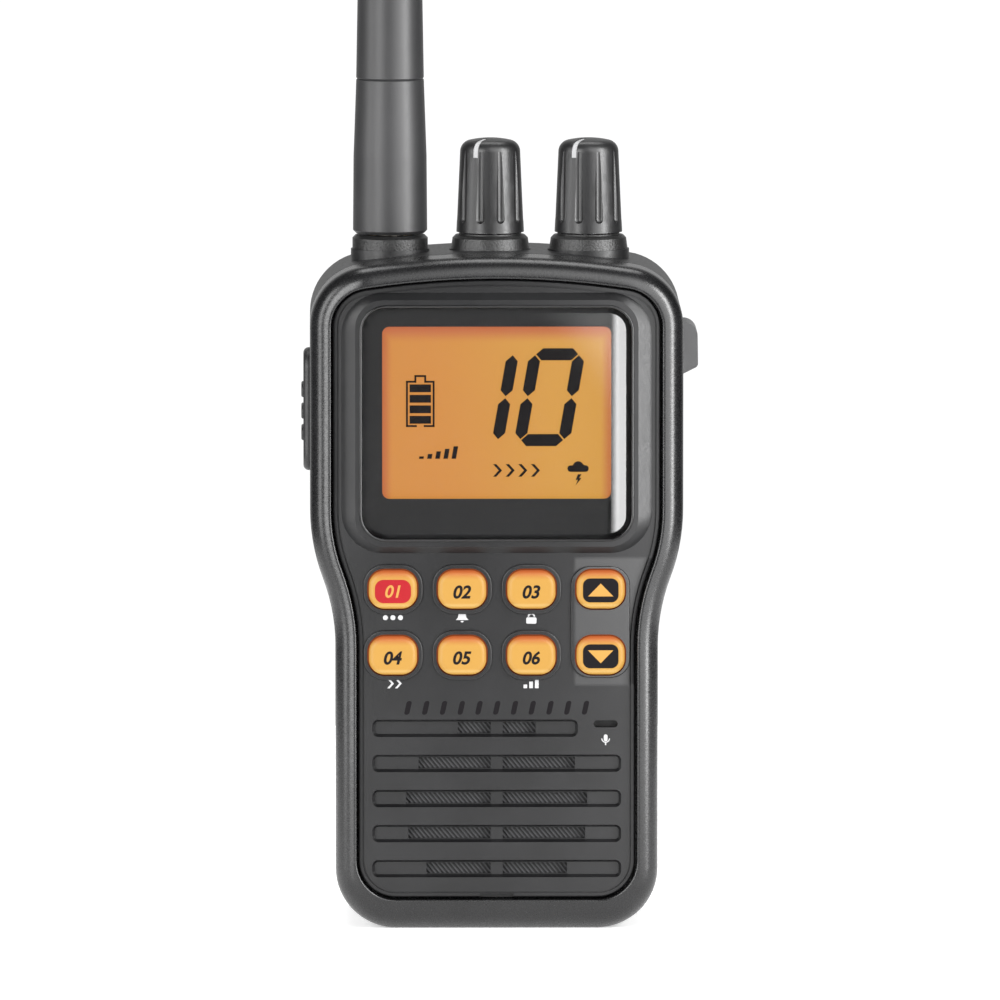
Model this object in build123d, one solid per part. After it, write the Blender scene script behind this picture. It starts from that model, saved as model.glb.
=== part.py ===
from build123d import *
import os
from math import asin, atan2, cos, degrees, radians, sin, sqrt

# Handheld marine VHF radio, in millimetres.
# X runs to the right, Y from the front to the back, Z up.
# The origin is on the flat foot, in the middle of the width.

# ---------------------------------------------------------------- driving sizes

# Body outline, seen from the front
HEAD_WIDTH = 62.0
WAIST_STEP = 4.2
BODY_HEIGHT = 112.0
BODY_DEPTH = 38.0
SWELL_BOTTOM_SHARE = 0.42
SWELL_TOP_SHARE = 0.625
TOP_RADIUS = 10.0
BOTTOM_RADIUS = 10.0
CROWN_RADIUS = 150.0

# Shells
WALL = 2.0
ROOF_WALL = 4.0
FRAME_DEPTH = 10.0
GASKET_THICK = 0.6
BACK_ROUND = 4.0
FACE_GAP = 0.2

# Rim of the front frame and the seat of the panel
RIM_WIDTH = 3.5
RIM_FOOT = 1.4
RIM_ROUND = 3.0
RIM_LIP = 0.35
PANEL_GAP = 0.25
PANEL_SINK = 1.4
PANEL_THICK = 2.0
PANEL_EDGE = 0.35
LEDGE_WIDTH = 0.9
LEDGE_THICK = 1.5
BEAD_WIDTH = 0.75
BEAD_GROOVE = 0.3

# Display surround, window and screen
ISLAND_SIDE = 1.7
ISLAND_HEAD = 5.9
ISLAND_BOTTOM_SHARE = 0.56
ISLAND_HEIGHT = 0.95
ISLAND_SLOPE = 2.3
ISLAND_RADIUS = 7.0
WINDOW_BORDER = 3.3
WINDOW_RADIUS = 4.0
WINDOW_GAP = 0.15
WINDOW_SINK = 0.25
WINDOW_THICK = 1.3
WINDOW_BEVEL = 0.9
WINDOW_BEVEL_DEPTH = 0.5
MASK_THICK = 0.2
MASK_SIDE = 3.5
MASK_HEAD = 3.4
MASK_FOOT = 6.7
SCREEN_RADIUS = 1.2
SCREEN_LEDGE = 1.0
LCD_SIDE = 3.0
LCD_EDGE = 2.65
LCD_THICK = 1.2
BACKLIGHT_THICK = 2.0

# Keys
KEY_SPACE = 3.5
KEY_HEIGHT = 6.4
KEY_RADIUS = 2.6
KEY_ROUND = 0.9
KEY_GAP = 0.25
KEY_PITCH_Z = 11.0
KEY_HEAD = 6.0
KEY_PROUD = 1.4
KEY_TRAVEL = 0.8
KEY_FLANGE = 0.9
KEY_FLANGE_THICK = 0.5
KEY_REST_GAP = 0.1
COLLAR_WIDTH = 0.7
COLLAR_HEIGHT = 0.45
COLLAR_EDGE = 0.2
ARROW_PAD_WIDTH = 9.8
ARROW_PAD_SIDE = 1.15
ARROW_PAD_HEIGHT = 18.6
ARROW_PAD_RADIUS = 3.2
MAT_THICK = 2.0
MAT_MARGIN = 1.0

# Speaker grille and microphone
SLOT_PITCH_SHARE = 0.0524
SLOT_LOW_SHARE = 0.0893
SLOT_COUNT = 5
SLOT_HEIGHT = 2.9
SLOT_SIDE = 2.6
SLOT_SHORTER = 7.2
SLOT_DEPTH = 0.9
SLOT_RADIUS = 1.0
SLOT_TAPER = 25.0
VENT_HEIGHT = 1.9
VENT_DROP = 1.3
VENT_REACH = 1.44
BRIDGE_WIDTH = 2.0
MIC_SIDE = 5.2
MIC_RISE = 0.72
MIC_SLOT_LENGTH = 4.0
MIC_SLOT_HEIGHT = 1.2
NOTCH_WIDTH = 5.6
NOTCH_HEIGHT = 0.7
NOTCH_DEPTH = 1.0

SPEAKER_FOOT = 7.0
SPEAKER_GAP = 2.5
SPEAKER_RIM = 1.6
BASKET_DEPTH = 3.6
BASKET_WALL = 0.6
BASKET_RIM_DEPTH = 1.2
BASKET_THROAT = 1.0
BASKET_WINDOW_WIDTH = 2.4
BASKET_WINDOW_LENGTH = 7.0
CONE_THICK = 0.4
CONE_DEPTH = 1.0
CONE_ROLL = 1.6
CONE_CAP_RADIUS = 3.4
CONE_CAP_RISE = 0.4
MAGNET_SHARE = 0.57
MAGNET_THICK = 2.2
MAGNET_EDGE = 0.4
CLOTH_THICK = 0.3
CLOTH_SIDE = 1.2
CLOTH_EDGE = 1.3
MIC_RADIUS = 2.2
MIC_LENGTH = 2.4

# Boards and chassis
BOARD_THICK = 1.4
CONTROL_BOARD_SIDE = 7.3
CONTROL_BOARD_FOOT = 8.2
CHASSIS_THICK = 1.4
CHASSIS_GAP = 1.0
POST_RADIUS = 1.8
RADIO_BOARD_SIDE = 7.8
RADIO_BOARD_BOTTOM = 8.0
RADIO_BOARD_HEAD = 16.0
RADIO_POST = 1.6
CAN_HEIGHT = 4.0
CAN_WALL = 0.5
CAN_RADIUS = 1.0

# Screws
SCREW_RADIUS = 1.2
SCREW_HEAD_RADIUS = 2.2
SCREW_HEAD_HEIGHT = 1.5
SCREW_CLEARANCE = 0.15
SCREW_SLOT = 0.6
BOSS_RADIUS = 2.7
SMALL_BOSS_RADIUS = 2.2
CASE_SCREW_HEAD_INSET = 5.8
CASE_SCREW_HEAD_DROP = 9.7
CASE_SCREW_FOOT_INSET = 4.8
CASE_SCREW_FOOT_Z = 8.5
CHASSIS_SCREW_INSET = 4.5
CHASSIS_SCREW_SHARE = 0.25
CHASSIS_SCREW_RISE = 1.5

# Controls on the top
CONTROL_Y = 2.0
VOLUME_X = -0.9
SQUELCH_SHARE = 0.5
ANTENNA_INSET = 13.4
PAD_MARGIN = 0.25
COLLAR_RADIUS = 6.55
COLLAR_TAPER = 0.25
COLLAR_CHAMFER = 0.5
CONTROL_COLLAR_HEIGHT = 2.3
NECK_RADIUS = 5.2
NECK_HEIGHT = 0.25
KNOB_LIFT = 0.25
KNOB_HEIGHT = 15.7
KNOB_RADIUS = 5.65
KNOB_TOP_RADIUS = 4.95
KNOB_DOME = 0.8
KNOB_SHOULDER = 2.0
FLUTE_COUNT = 10
FLUTE_RADIUS = 0.85
FLUTE_DEPTH = 0.55
FLUTE_BOTTOM = 2.4
FLUTE_TOP = 13.6
POINTER_ANGLE = -30.0
POINTER_WIDTH = 0.95
POINTER_DEPTH = 0.6
POINTER_SINK = 0.12
POINTER_DROP = 3.1
POINTER_START = 1.4
SHAFT_RADIUS = 2.0
SHAFT_FLAT = 1.5
SHAFT_CLEARANCE = 0.08
SHAFT_INTO_KNOB = 9.0
BUSHING_RADIUS = 3.0
BUSHING_PROUD = 1.0
FIT_GAP = 0.05
POT_SIZE = 9.0
POT_HEIGHT = 6.0
POT_DROP = 5.6

# Antenna
ANTENNA_RADIUS = 6.2
ANTENNA_SEAM_RADIUS = 5.65
ANTENNA_TOP_RADIUS = 3.6
ANTENNA_LIFT = 0.3
ANTENNA_BOOT_LENGTH = 25.8
ANTENNA_LENGTH = 147.4
ANTENNA_SEAM_GROOVE = 0.2
ANTENNA_FOOT_CHAMFER = 0.5
ANTENNA_BOOT_DRAW = 0.1
ANTENNA_COLLAR_RADIUS = 6.3
STUD_RADIUS = 2.2
STUD_LENGTH = 6.5
STUD_CLEARANCE = 0.1
STUD_CHAMFER = 0.3
STUD_INSIDE = 4.0
SOCKET_RADIUS = 4.0
SOCKET_DEPTH = 9.0
SOCKET_FLOOR = 1.0
SEAL_RADIUS = 4.3
SEAL_WIRE = 0.4
SEAL_GROOVE = 0.1

# Push-to-talk bar on the left side
PTT_DROP = 16.4
PTT_HEIGHT = 20.3
PTT_FRONT_GAP = 1.85
PTT_BACK_GAP = 0.95
PTT_RADIUS_SHARE = 0.333
PTT_PROUD = 1.1
PTT_ROUND = 0.9
PTT_GAP = 0.2
PTT_FLANGE = 0.6
PTT_FLANGE_THICK = 0.8
PTT_TRAVEL = 1.0
PTT_NUB_RADIUS = 1.5
PTT_NUB_LENGTH = 1.2
PTT_RIDGE_PITCH = 3.6
PTT_RIDGE_SHIFT = -0.33
PTT_RIDGE_WIDTH = 2.3
PTT_RIDGE_SIDE = 1.3
PTT_RIDGE_PROUD = 0.35
SWITCH_SIZE = 6.0
SWITCH_TALL = 4.6
SWITCH_DEPTH = 3.2
SWITCH_MARGIN = 1.0

# Accessory jack and its cover on the right side
JACK_DROP = 16.3
JACK_Y = 1.0
JACK_RADIUS = 3.2
JACK_BORE = 1.75
JACK_LENGTH = 11.0
JACK_END = 1.0
JACK_COVER_HEIGHT = 8.6
JACK_COVER_PROUD = 2.7
JACK_COVER_DEPTH = 11.0
JACK_COVER_GAP = 0.1
JACK_COVER_SHOULDER = 2.2
JACK_COVER_CHIN = 1.3
JACK_COVER_ROUND = 0.8
JACK_PLUG_RADIUS = 1.4
JACK_PLUG_LENGTH = 0.7

# Battery pack in its bay
BAY_SHARE = 0.75
BAY_DEPTH_SHARE = 0.342
PACK_WALL = 1.8
PACK_BACK_DEPTH = 7.0
PACK_TOP_RADIUS = 1.5
CELL_SIDE = 7.8
CELL_GAP = 1.2
CELL_HEAD = 17.0
CELL_BOTTOM = 5.0
CELL_ROUND = 2.0
PACK_SCREW_INSET = 11.5
PACK_SCREW_DROP = 7.0
PACK_SCREW_RADIUS = 1.5
PACK_SCREW_HEAD = 3.6
PACK_SCREW_HEAD_HEIGHT = 2.0
PACK_SCREW_REACH = 4.0
PACK_COLUMN_RADIUS = 4.4
TERMINAL_WIDTH = 3.0
TERMINAL_HEIGHT = 6.0
TERMINAL_THICK = 0.6
TERMINAL_PITCH = 6.0
TERMINAL_DROP = 24.0

# Belt clip on the back of the pack
CLIP_AXIS_DROP = 11.0
CLIP_AXIS_OUT = 4.5
CLIP_BARREL_RADIUS = 2.6
CLIP_PIN_RADIUS = 1.25
CLIP_PIN_CLEARANCE = 0.05
CLIP_WIDTH = 15.0
CLIP_THICK = 1.8
CLIP_GAP = 6.0
CLIP_BOTTOM = 20.0
CLIP_TIP_GAP = 0.4
CLIP_TIP_LENGTH = 9.0
CLIP_THUMB_LIP = 0.8
CLIP_EAR_WIDTH = 2.6
CLIP_EAR_GAP = 0.3
MOUNT_PLATE_THICK = 1.5
MOUNT_PLATE_HEIGHT = 16.0
MOUNT_PLATE_MARGIN = 2.0
SPRING_RADIUS = 1.85
SPRING_WIRE = 0.3
SPRING_LENGTH = 4.2
SPRING_COILS = 3
SPRING_ROOM = 5.4
CLIP_SCREW_X = 3.8
CLIP_SCREW_GAP = 1.0

# Lanyard loop on the back of the head
LOOP_INSET = 11.0
LOOP_DROP = 15.0
LOOP_WIDTH = 3.0
LOOP_RADIUS = 3.2
LOOP_BORE = 1.6
LOOP_OUT = 2.6
LOOP_FOOT = 1.2

# ------------------------------------------------------------- worked-out sizes

# Depths, from the front to the back
FRONT_Y = -BODY_DEPTH / 2
BACK_Y = BODY_DEPTH / 2
SPLIT_Y = FRONT_Y + FRAME_DEPTH
CASE_Y = SPLIT_Y + GASKET_THICK
PANEL_Y = FRONT_Y + PANEL_SINK
PANEL_BACK = PANEL_Y + PANEL_THICK
LEDGE_BACK = PANEL_BACK + LEDGE_THICK
ISLAND_Y = PANEL_Y - ISLAND_HEIGHT
WINDOW_Y = ISLAND_Y + WINDOW_SINK
WINDOW_BACK = WINDOW_Y + WINDOW_THICK
MASK_BACK = WINDOW_BACK + MASK_THICK
LCD_BACK = PANEL_BACK + LCD_THICK
BACKLIGHT_BACK = LCD_BACK + BACKLIGHT_THICK
BOARD_Y = BACKLIGHT_BACK + FIT_GAP
BOARD_BACK = BOARD_Y + BOARD_THICK
CHASSIS_BACK = SPLIT_Y + CHASSIS_THICK
RADIO_BOARD_Y = CHASSIS_BACK + RADIO_POST
RADIO_BOARD_BACK = RADIO_BOARD_Y + BOARD_THICK
BAY_FLOOR_Y = BACK_Y - BODY_DEPTH * BAY_DEPTH_SHARE
BAY_INNER_Y = BAY_FLOOR_Y - WALL
PACK_Y = BAY_FLOOR_Y + FACE_GAP
PACK_SPLIT_Y = BACK_Y - PACK_BACK_DEPTH
CLIP_AXIS_Y = BACK_Y + CLIP_AXIS_OUT
PTT_DEPTH = BAY_INNER_Y - PTT_BACK_GAP - CASE_Y - PTT_FRONT_GAP
PTT_Y = CASE_Y + PTT_FRONT_GAP + PTT_DEPTH / 2
PTT_RADIUS = PTT_DEPTH * PTT_RADIUS_SHARE

# Widths
WAIST_WIDTH = HEAD_WIDTH - 2 * WAIST_STEP
HEAD_HALF = HEAD_WIDTH / 2
WAIST_HALF = WAIST_WIDTH / 2
PANEL_HALF = WAIST_HALF - RIM_WIDTH
ISLAND_WIDTH = HEAD_WIDTH - 2 * (RIM_WIDTH + ISLAND_SIDE)
WINDOW_WIDTH = ISLAND_WIDTH - 2 * WINDOW_BORDER
SCREEN_WIDTH = WINDOW_WIDTH - 2 * MASK_SIDE
LCD_WIDTH = SCREEN_WIDTH + 2 * LCD_SIDE
KEY_PITCH_X = 2 * (PANEL_HALF - ARROW_PAD_WIDTH / 2 - ARROW_PAD_SIDE) / 3
KEY_WIDTH = KEY_PITCH_X - KEY_SPACE
SLOT_LENGTH = 2 * (PANEL_HALF - SLOT_SIDE)
MIC_X = PANEL_HALF - MIC_SIDE
CONTROL_BOARD_WIDTH = WAIST_WIDTH - 2 * CONTROL_BOARD_SIDE
RADIO_BOARD_WIDTH = WAIST_WIDTH - 2 * RADIO_BOARD_SIDE
CELL_WIDTH = WAIST_HALF - CELL_SIDE - CELL_GAP / 2
CELL_SPACING = CELL_WIDTH + CELL_GAP
PACK_SCREW_X = HEAD_HALF - PACK_SCREW_INSET
SQUELCH_X = HEAD_HALF * SQUELCH_SHARE
ANTENNA_X = ANTENNA_INSET - HEAD_HALF
PTT_INSIDE = -HEAD_HALF + WALL + KEY_REST_GAP
SWITCH_X = PTT_INSIDE + PTT_FLANGE_THICK + PTT_NUB_LENGTH + PTT_TRAVEL + FIT_GAP
LOOP_X = LOOP_INSET - HEAD_HALF

# Heights of the case, the screen and the keys
SWELL_BOTTOM = BODY_HEIGHT * SWELL_BOTTOM_SHARE
SWELL_TOP = BODY_HEIGHT * SWELL_TOP_SHARE
ISLAND_BOTTOM = BODY_HEIGHT * ISLAND_BOTTOM_SHARE
ISLAND_TOP = BODY_HEIGHT - ISLAND_HEAD
WINDOW_BOTTOM = ISLAND_BOTTOM + ISLAND_SLOPE
WINDOW_TOP = ISLAND_TOP - ISLAND_SLOPE
SCREEN_HEIGHT = WINDOW_TOP - WINDOW_BOTTOM - MASK_HEAD - MASK_FOOT
SCREEN_CENTRE = WINDOW_BOTTOM + MASK_FOOT + SCREEN_HEIGHT / 2
LCD_HEIGHT = SCREEN_HEIGHT + 2 * LCD_EDGE
KEY_TOP_ROW = ISLAND_BOTTOM - KEY_HEAD
KEY_ROWS = [KEY_TOP_ROW, KEY_TOP_ROW - KEY_PITCH_Z]
KEY_COLUMNS = [KEY_PITCH_X * (column - 1.5) for column in range(4)]
KEY_NAMES = [
    ["key_priority", "key_weather", "key_lock", "key_up"],
    ["key_scan", "key_memory", "key_power", "key_down"],
]
CONTROL_BOARD_BOTTOM = KEY_ROWS[1] - CONTROL_BOARD_FOOT
CONTROL_BOARD_TOP = SCREEN_CENTRE + LCD_HEIGHT / 2
RADIO_BOARD_TOP = BODY_HEIGHT - RADIO_BOARD_HEAD

# Heights of the grille and the speaker
SLOT_ROWS = [BODY_HEIGHT * (SLOT_LOW_SHARE + SLOT_PITCH_SHARE * row) for row in range(SLOT_COUNT)]
MIC_Z = SLOT_ROWS[-1] + MIC_RISE
SPEAKER_RADIUS = (CONTROL_BOARD_BOTTOM - SPEAKER_GAP - SPEAKER_FOOT) / 2
SPEAKER_Z = SPEAKER_FOOT + SPEAKER_RADIUS
MAGNET_RADIUS = SPEAKER_RADIUS * MAGNET_SHARE
VENT_CENTRE = SPEAKER_Z - VENT_DROP
VENT_RADIUS = SLOT_ROWS[-1] - VENT_CENTRE + VENT_REACH
CLOTH_RADIUS = VENT_RADIUS + CLOTH_SIDE
CLOTH_HEIGHT = SLOT_ROWS[-1] - SLOT_ROWS[0] + SLOT_HEIGHT + 2 * CLOTH_EDGE

# Heights of the controls, the antenna and the pack
TOP_PAD_Z = BODY_HEIGHT
POT_TOP_Z = TOP_PAD_Z - POT_DROP
KNOB_Z = TOP_PAD_Z + CONTROL_COLLAR_HEIGHT + NECK_HEIGHT + KNOB_LIFT
ANTENNA_Z = TOP_PAD_Z + CONTROL_COLLAR_HEIGHT + ANTENNA_LIFT
ANTENNA_SEAM_Z = ANTENNA_Z + ANTENNA_BOOT_LENGTH
ANTENNA_TOP_Z = ANTENNA_Z + ANTENNA_LENGTH
PTT_MIDDLE = BODY_HEIGHT - PTT_DROP - PTT_HEIGHT / 2
PTT_RIDGES = [PTT_MIDDLE + PTT_RIDGE_SHIFT + PTT_RIDGE_PITCH * place for place in (1, 0, -1)]
JACK_Z = BODY_HEIGHT - JACK_DROP
JACK_COVER_BOTTOM = JACK_Z - JACK_COVER_HEIGHT / 2
JACK_COVER_TOP = JACK_Z + JACK_COVER_HEIGHT / 2
BAY_TOP = BODY_HEIGHT * BAY_SHARE
PACK_TOP = BAY_TOP - FACE_GAP
PACK_SCREW_Z = BAY_TOP - PACK_SCREW_DROP
CELL_HEIGHT = BAY_TOP - CELL_HEAD - CELL_BOTTOM
TERMINAL_Z = BAY_TOP - TERMINAL_DROP
CLIP_AXIS_Z = BAY_TOP - CLIP_AXIS_DROP
CLIP_TOP = BAY_TOP
LOOP_Z = BODY_HEIGHT - LOOP_DROP

# Screws that close the case, and those that hold the chassis
CASE_SCREWS = [
    (side * x, z, back)
    for side in (-1, 1)
    for x, z, back in (
        (HEAD_HALF - CASE_SCREW_HEAD_INSET, BODY_HEIGHT - CASE_SCREW_HEAD_DROP, BACK_Y),
        (WAIST_HALF - CASE_SCREW_FOOT_INSET, CASE_SCREW_FOOT_Z, BAY_FLOOR_Y),
    )
]
CHASSIS_SCREWS = [
    (side * x, z)
    for side in (-1, 1)
    for x, z in (
        (HEAD_HALF - CHASSIS_SCREW_INSET, SWELL_TOP + CHASSIS_SCREW_RISE),
        (WAIST_HALF - CHASSIS_SCREW_INSET, BODY_HEIGHT * CHASSIS_SCREW_SHARE),
    )
]


# ---------------------------------------------------------------------- helpers


def slab(face, front, back):
    """A face drawn in X and Z, as a solid between two depths."""
    return extrude(Plane.XZ.offset(-back) * face, amount=back - front)


def side_slab(face, left, right):
    """A face drawn in Y and Z, as a solid between two values of X."""
    return extrude(Plane.YZ.offset(left) * face, amount=right - left)


def rod(x, z, radius, front, back):
    """A round bar along Y."""
    return slab(Pos(x, z) * Circle(radius), front, back)


def upright(x, y, radius, bottom, top):
    """A round bar along Z."""
    return extrude(Pos(x, y, bottom) * Circle(radius), amount=top - bottom)


def cross_rod(y, z, radius, left, right):
    """A round bar along X."""
    return side_slab(Pos(y, z) * Circle(radius), left, right)


def block(x_span, y_span, z_span):
    """A plain block from three spans."""
    size = [span[1] - span[0] for span in (x_span, y_span, z_span)]
    middle = [(span[1] + span[0]) / 2 for span in (x_span, y_span, z_span)]
    return Pos(*middle) * Box(*size)


def rounded(width, bottom, top, radius):
    """A rounded rectangle in X and Z, centred on X."""
    return Pos(0, (bottom + top) / 2) * RectangleRounded(width, top - bottom, radius)


def turned(points):
    """A solid turned about Z from a closed profile in radius and height."""
    profile = make_face(Plane.XZ * Polyline(*points, close=True))
    return revolve(profile, Axis.Z)


def front_edges(solid):
    """The edges of the face nearest the user."""
    return solid.faces().sort_by(Axis.Y)[0].edges()


def back_edges(solid):
    """The edges of the rearmost face."""
    return solid.faces().sort_by(Axis.Y)[-1].edges()


def body_outline(inset=0.0, foot=0.0, roof=0.0):
    """The body seen from the front, inset all round, with more off its foot and roof."""
    rise = SWELL_TOP - SWELL_BOTTOM
    step = HEAD_HALF - WAIST_HALF
    swell = (step**2 + rise**2) / (4 * step)
    swing = asin(rise / 2 / swell)
    crown_z = BODY_HEIGHT - CROWN_RADIUS
    corner_x = HEAD_HALF - TOP_RADIUS
    corner_z = crown_z + sqrt((CROWN_RADIUS - TOP_RADIUS) ** 2 - corner_x**2)
    lean = atan2(corner_z - crown_z, corner_x)

    def low(turn):
        reach = swell + inset
        return (WAIST_HALF + swell - reach * cos(turn), SWELL_BOTTOM + reach * sin(turn))

    def high(turn):
        reach = swell - inset
        return (HEAD_HALF - swell + reach * cos(turn), SWELL_TOP - reach * sin(turn))

    def corner(turn):
        reach = TOP_RADIUS - inset
        return (corner_x + reach * cos(turn), corner_z - roof + reach * sin(turn))

    def toe(turn):
        reach = BOTTOM_RADIUS - inset
        centre_x = WAIST_HALF - BOTTOM_RADIUS
        return (centre_x + reach * cos(turn), BOTTOM_RADIUS + foot - reach * sin(turn))

    half = [
        Line((0, inset + foot), toe(radians(90))),
        ThreePointArc(toe(radians(90)), toe(radians(45)), toe(0)),
        Line(toe(0), low(0)),
        ThreePointArc(low(0), low(swing / 2), low(swing)),
        ThreePointArc(high(swing), high(swing / 2), high(0)),
        Line(high(0), corner(0)),
        ThreePointArc(corner(0), corner(lean / 2), corner(lean)),
    ]
    top_left = (-corner(lean)[0], corner(lean)[1])
    crown = ThreePointArc(corner(lean), (0, BODY_HEIGHT - inset - roof), top_left)
    other = [mirror(edge, Plane.YZ) for edge in half]
    return make_face(Curve() + half + [crown] + other)


def panel_outline(clearance):
    """The opening of the front frame, less a clearance."""
    return body_outline(RIM_WIDTH + clearance, foot=RIM_FOOT)


def pack_outline(inset=0.0):
    """The battery pack seen from the back, inset all round."""
    top = PACK_TOP - inset
    keep = Pos(0, top / 2) * Rectangle(HEAD_WIDTH, top)
    face = body_outline(inset) & keep
    corners = face.vertices().sort_by(Axis.Y)[-2:]
    return fillet(corners, PACK_TOP_RADIUS)


def key_places():
    """Each key's name, column and row height."""
    for names, row in zip(KEY_NAMES, KEY_ROWS):
        for name, column in zip(names, KEY_COLUMNS):
            yield name, column, row


def screw(x, z, head_y, tip_y, radius=SCREW_RADIUS, head=SCREW_HEAD_RADIUS, height=SCREW_HEAD_HEIGHT):
    """A slotted screw along Y, its head towards the back."""
    body = rod(x, z, radius, tip_y, head_y) + rod(x, z, head, head_y, head_y + height)
    half = SCREW_SLOT / 2
    return body - block((x - head, x + head), (head_y + height / 2, head_y + height), (z - half, z + half))


# ---------------------------------------------------------------- case and panel


def make_outer_frame():
    """Thick rounded bumper round the front, with the ledge that carries the panel."""
    frame = slab(body_outline(), FRONT_Y, SPLIT_Y)
    frame = fillet(front_edges(frame), RIM_ROUND)
    frame -= slab(panel_outline(0), FRONT_Y, PANEL_BACK)
    inner = PANEL_GAP + LEDGE_WIDTH
    frame -= slab(panel_outline(inner), PANEL_BACK, LEDGE_BACK)
    frame -= slab(body_outline(WALL, roof=ROOF_WALL - WALL), LEDGE_BACK, SPLIT_Y)
    lip = frame.faces().sort_by(Axis.Y)[0].inner_wires()[0].edges()
    frame = fillet(lip, RIM_LIP)
    room = slab(body_outline(WALL / 2), LEDGE_BACK, SPLIT_Y)
    for x, z, _ in CASE_SCREWS:
        frame += rod(x, z, BOSS_RADIUS, LEDGE_BACK, SPLIT_Y) & room
        frame -= rod(x, z, SCREW_RADIUS, LEDGE_BACK + FACE_GAP, SPLIT_Y)
    for x, z in CHASSIS_SCREWS:
        frame += rod(x, z, SMALL_BOSS_RADIUS, LEDGE_BACK, SPLIT_Y) & room
        frame -= rod(x, z, SCREW_RADIUS, LEDGE_BACK + FACE_GAP, SPLIT_Y)
    return frame


def make_display_surround():
    """Sloping raised border round the window."""
    base = rounded(ISLAND_WIDTH, ISLAND_BOTTOM, ISLAND_TOP, ISLAND_RADIUS)
    crest = rounded(
        ISLAND_WIDTH - 2 * ISLAND_SLOPE,
        (ISLAND_BOTTOM + WINDOW_BOTTOM) / 2,
        (ISLAND_TOP + WINDOW_TOP) / 2,
        ISLAND_RADIUS - ISLAND_SLOPE,
    )
    low = Plane.XZ.offset(-PANEL_Y) * base
    high = Plane.XZ.offset(-ISLAND_Y) * crest
    return loft([low, high], ruled=True) + slab(base, PANEL_Y, PANEL_BACK)


def slot_cut(width, x, z):
    """One tapering grille channel."""
    face = Plane.XZ.offset(-PANEL_Y) * (Pos(x, z) * RectangleRounded(width, SLOT_HEIGHT, SLOT_RADIUS))
    return extrude(face, amount=-SLOT_DEPTH, taper=SLOT_TAPER)


def make_front_panel():
    """Moulded panel with the display surround, key holes, grille and microphone slot."""
    panel = slab(panel_outline(PANEL_GAP), PANEL_Y, PANEL_BACK)
    panel = fillet(front_edges(panel), PANEL_EDGE)
    groove = panel_outline(PANEL_GAP + BEAD_WIDTH) - panel_outline(PANEL_GAP + BEAD_WIDTH + BEAD_GROOVE)
    panel -= slab(groove, PANEL_Y - FIT_GAP, PANEL_Y + BEAD_GROOVE)
    panel += make_display_surround()
    panel -= slab(window_outline(0.0), ISLAND_Y - FIT_GAP, MASK_BACK)
    screen = Pos(0, SCREEN_CENTRE) * RectangleRounded(
        SCREEN_WIDTH + SCREEN_LEDGE, SCREEN_HEIGHT + SCREEN_LEDGE, SCREEN_RADIUS + SCREEN_LEDGE / 2
    )
    panel -= slab(screen, MASK_BACK - FIT_GAP, PANEL_BACK)

    hole_width = KEY_WIDTH + 2 * KEY_GAP
    hole_height = KEY_HEIGHT + 2 * KEY_GAP
    hole_radius = KEY_RADIUS + KEY_GAP
    collar_y = PANEL_Y - COLLAR_HEIGHT
    for name, x, z in key_places():
        if x == KEY_COLUMNS[-1]:
            continue
        ring = Pos(x, z) * RectangleRounded(
            hole_width + 2 * COLLAR_WIDTH, hole_height + 2 * COLLAR_WIDTH, hole_radius + COLLAR_WIDTH
        )
        collar = slab(ring, collar_y, PANEL_BACK)
        panel += fillet(front_edges(collar), COLLAR_EDGE)
    pad = Pos(KEY_COLUMNS[-1], sum(KEY_ROWS) / 2) * RectangleRounded(
        ARROW_PAD_WIDTH, ARROW_PAD_HEIGHT, ARROW_PAD_RADIUS
    )
    arrow_pad = slab(pad, collar_y, PANEL_BACK)
    panel += fillet(front_edges(arrow_pad), COLLAR_EDGE)
    for name, x, z in key_places():
        hole = Pos(x, z) * RectangleRounded(hole_width, hole_height, hole_radius)
        panel -= slab(hole, collar_y - FIT_GAP, PANEL_BACK)

    for row, z in enumerate(SLOT_ROWS):
        short = SLOT_SHORTER if row == SLOT_COUNT - 1 else 0.0
        panel -= slot_cut(SLOT_LENGTH - short, -short / 2, z)
        half = sqrt(VENT_RADIUS**2 - (z - VENT_CENTRE) ** 2)
        for side in (-1, 1):
            span = sorted((side * BRIDGE_WIDTH / 2, side * half))
            panel -= block(span, (PANEL_Y, PANEL_BACK), (z - VENT_HEIGHT / 2, z + VENT_HEIGHT / 2))
    mic = Pos(MIC_X, MIC_Z) * SlotOverall(MIC_SLOT_LENGTH, MIC_SLOT_HEIGHT)
    panel -= slab(mic, PANEL_Y, PANEL_BACK)
    foot = RIM_WIDTH + RIM_FOOT + PANEL_GAP
    half = NOTCH_WIDTH / 2
    notch = block((-half, half), (PANEL_Y, PANEL_Y + NOTCH_DEPTH), (foot, foot + NOTCH_HEIGHT))
    return panel - notch


def window_outline(inset):
    """The window's recess, inset all round."""
    width = WINDOW_WIDTH - 2 * inset
    return rounded(width, WINDOW_BOTTOM + inset, WINDOW_TOP - inset, WINDOW_RADIUS - inset)


def make_display_window():
    """Clear window with a bevelled edge."""
    window = slab(window_outline(WINDOW_GAP), WINDOW_Y, WINDOW_BACK)
    return chamfer(front_edges(window), WINDOW_BEVEL_DEPTH, WINDOW_BEVEL)


def make_window_mask():
    """Black border printed behind the window."""
    opening = Pos(0, SCREEN_CENTRE) * RectangleRounded(SCREEN_WIDTH, SCREEN_HEIGHT, SCREEN_RADIUS)
    return slab(window_outline(WINDOW_GAP) - opening, WINDOW_BACK, MASK_BACK)


def make_lcd_panel():
    """Liquid-crystal glass behind the panel."""
    return slab(Pos(0, SCREEN_CENTRE) * Rectangle(LCD_WIDTH, LCD_HEIGHT), PANEL_BACK, LCD_BACK)


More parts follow.
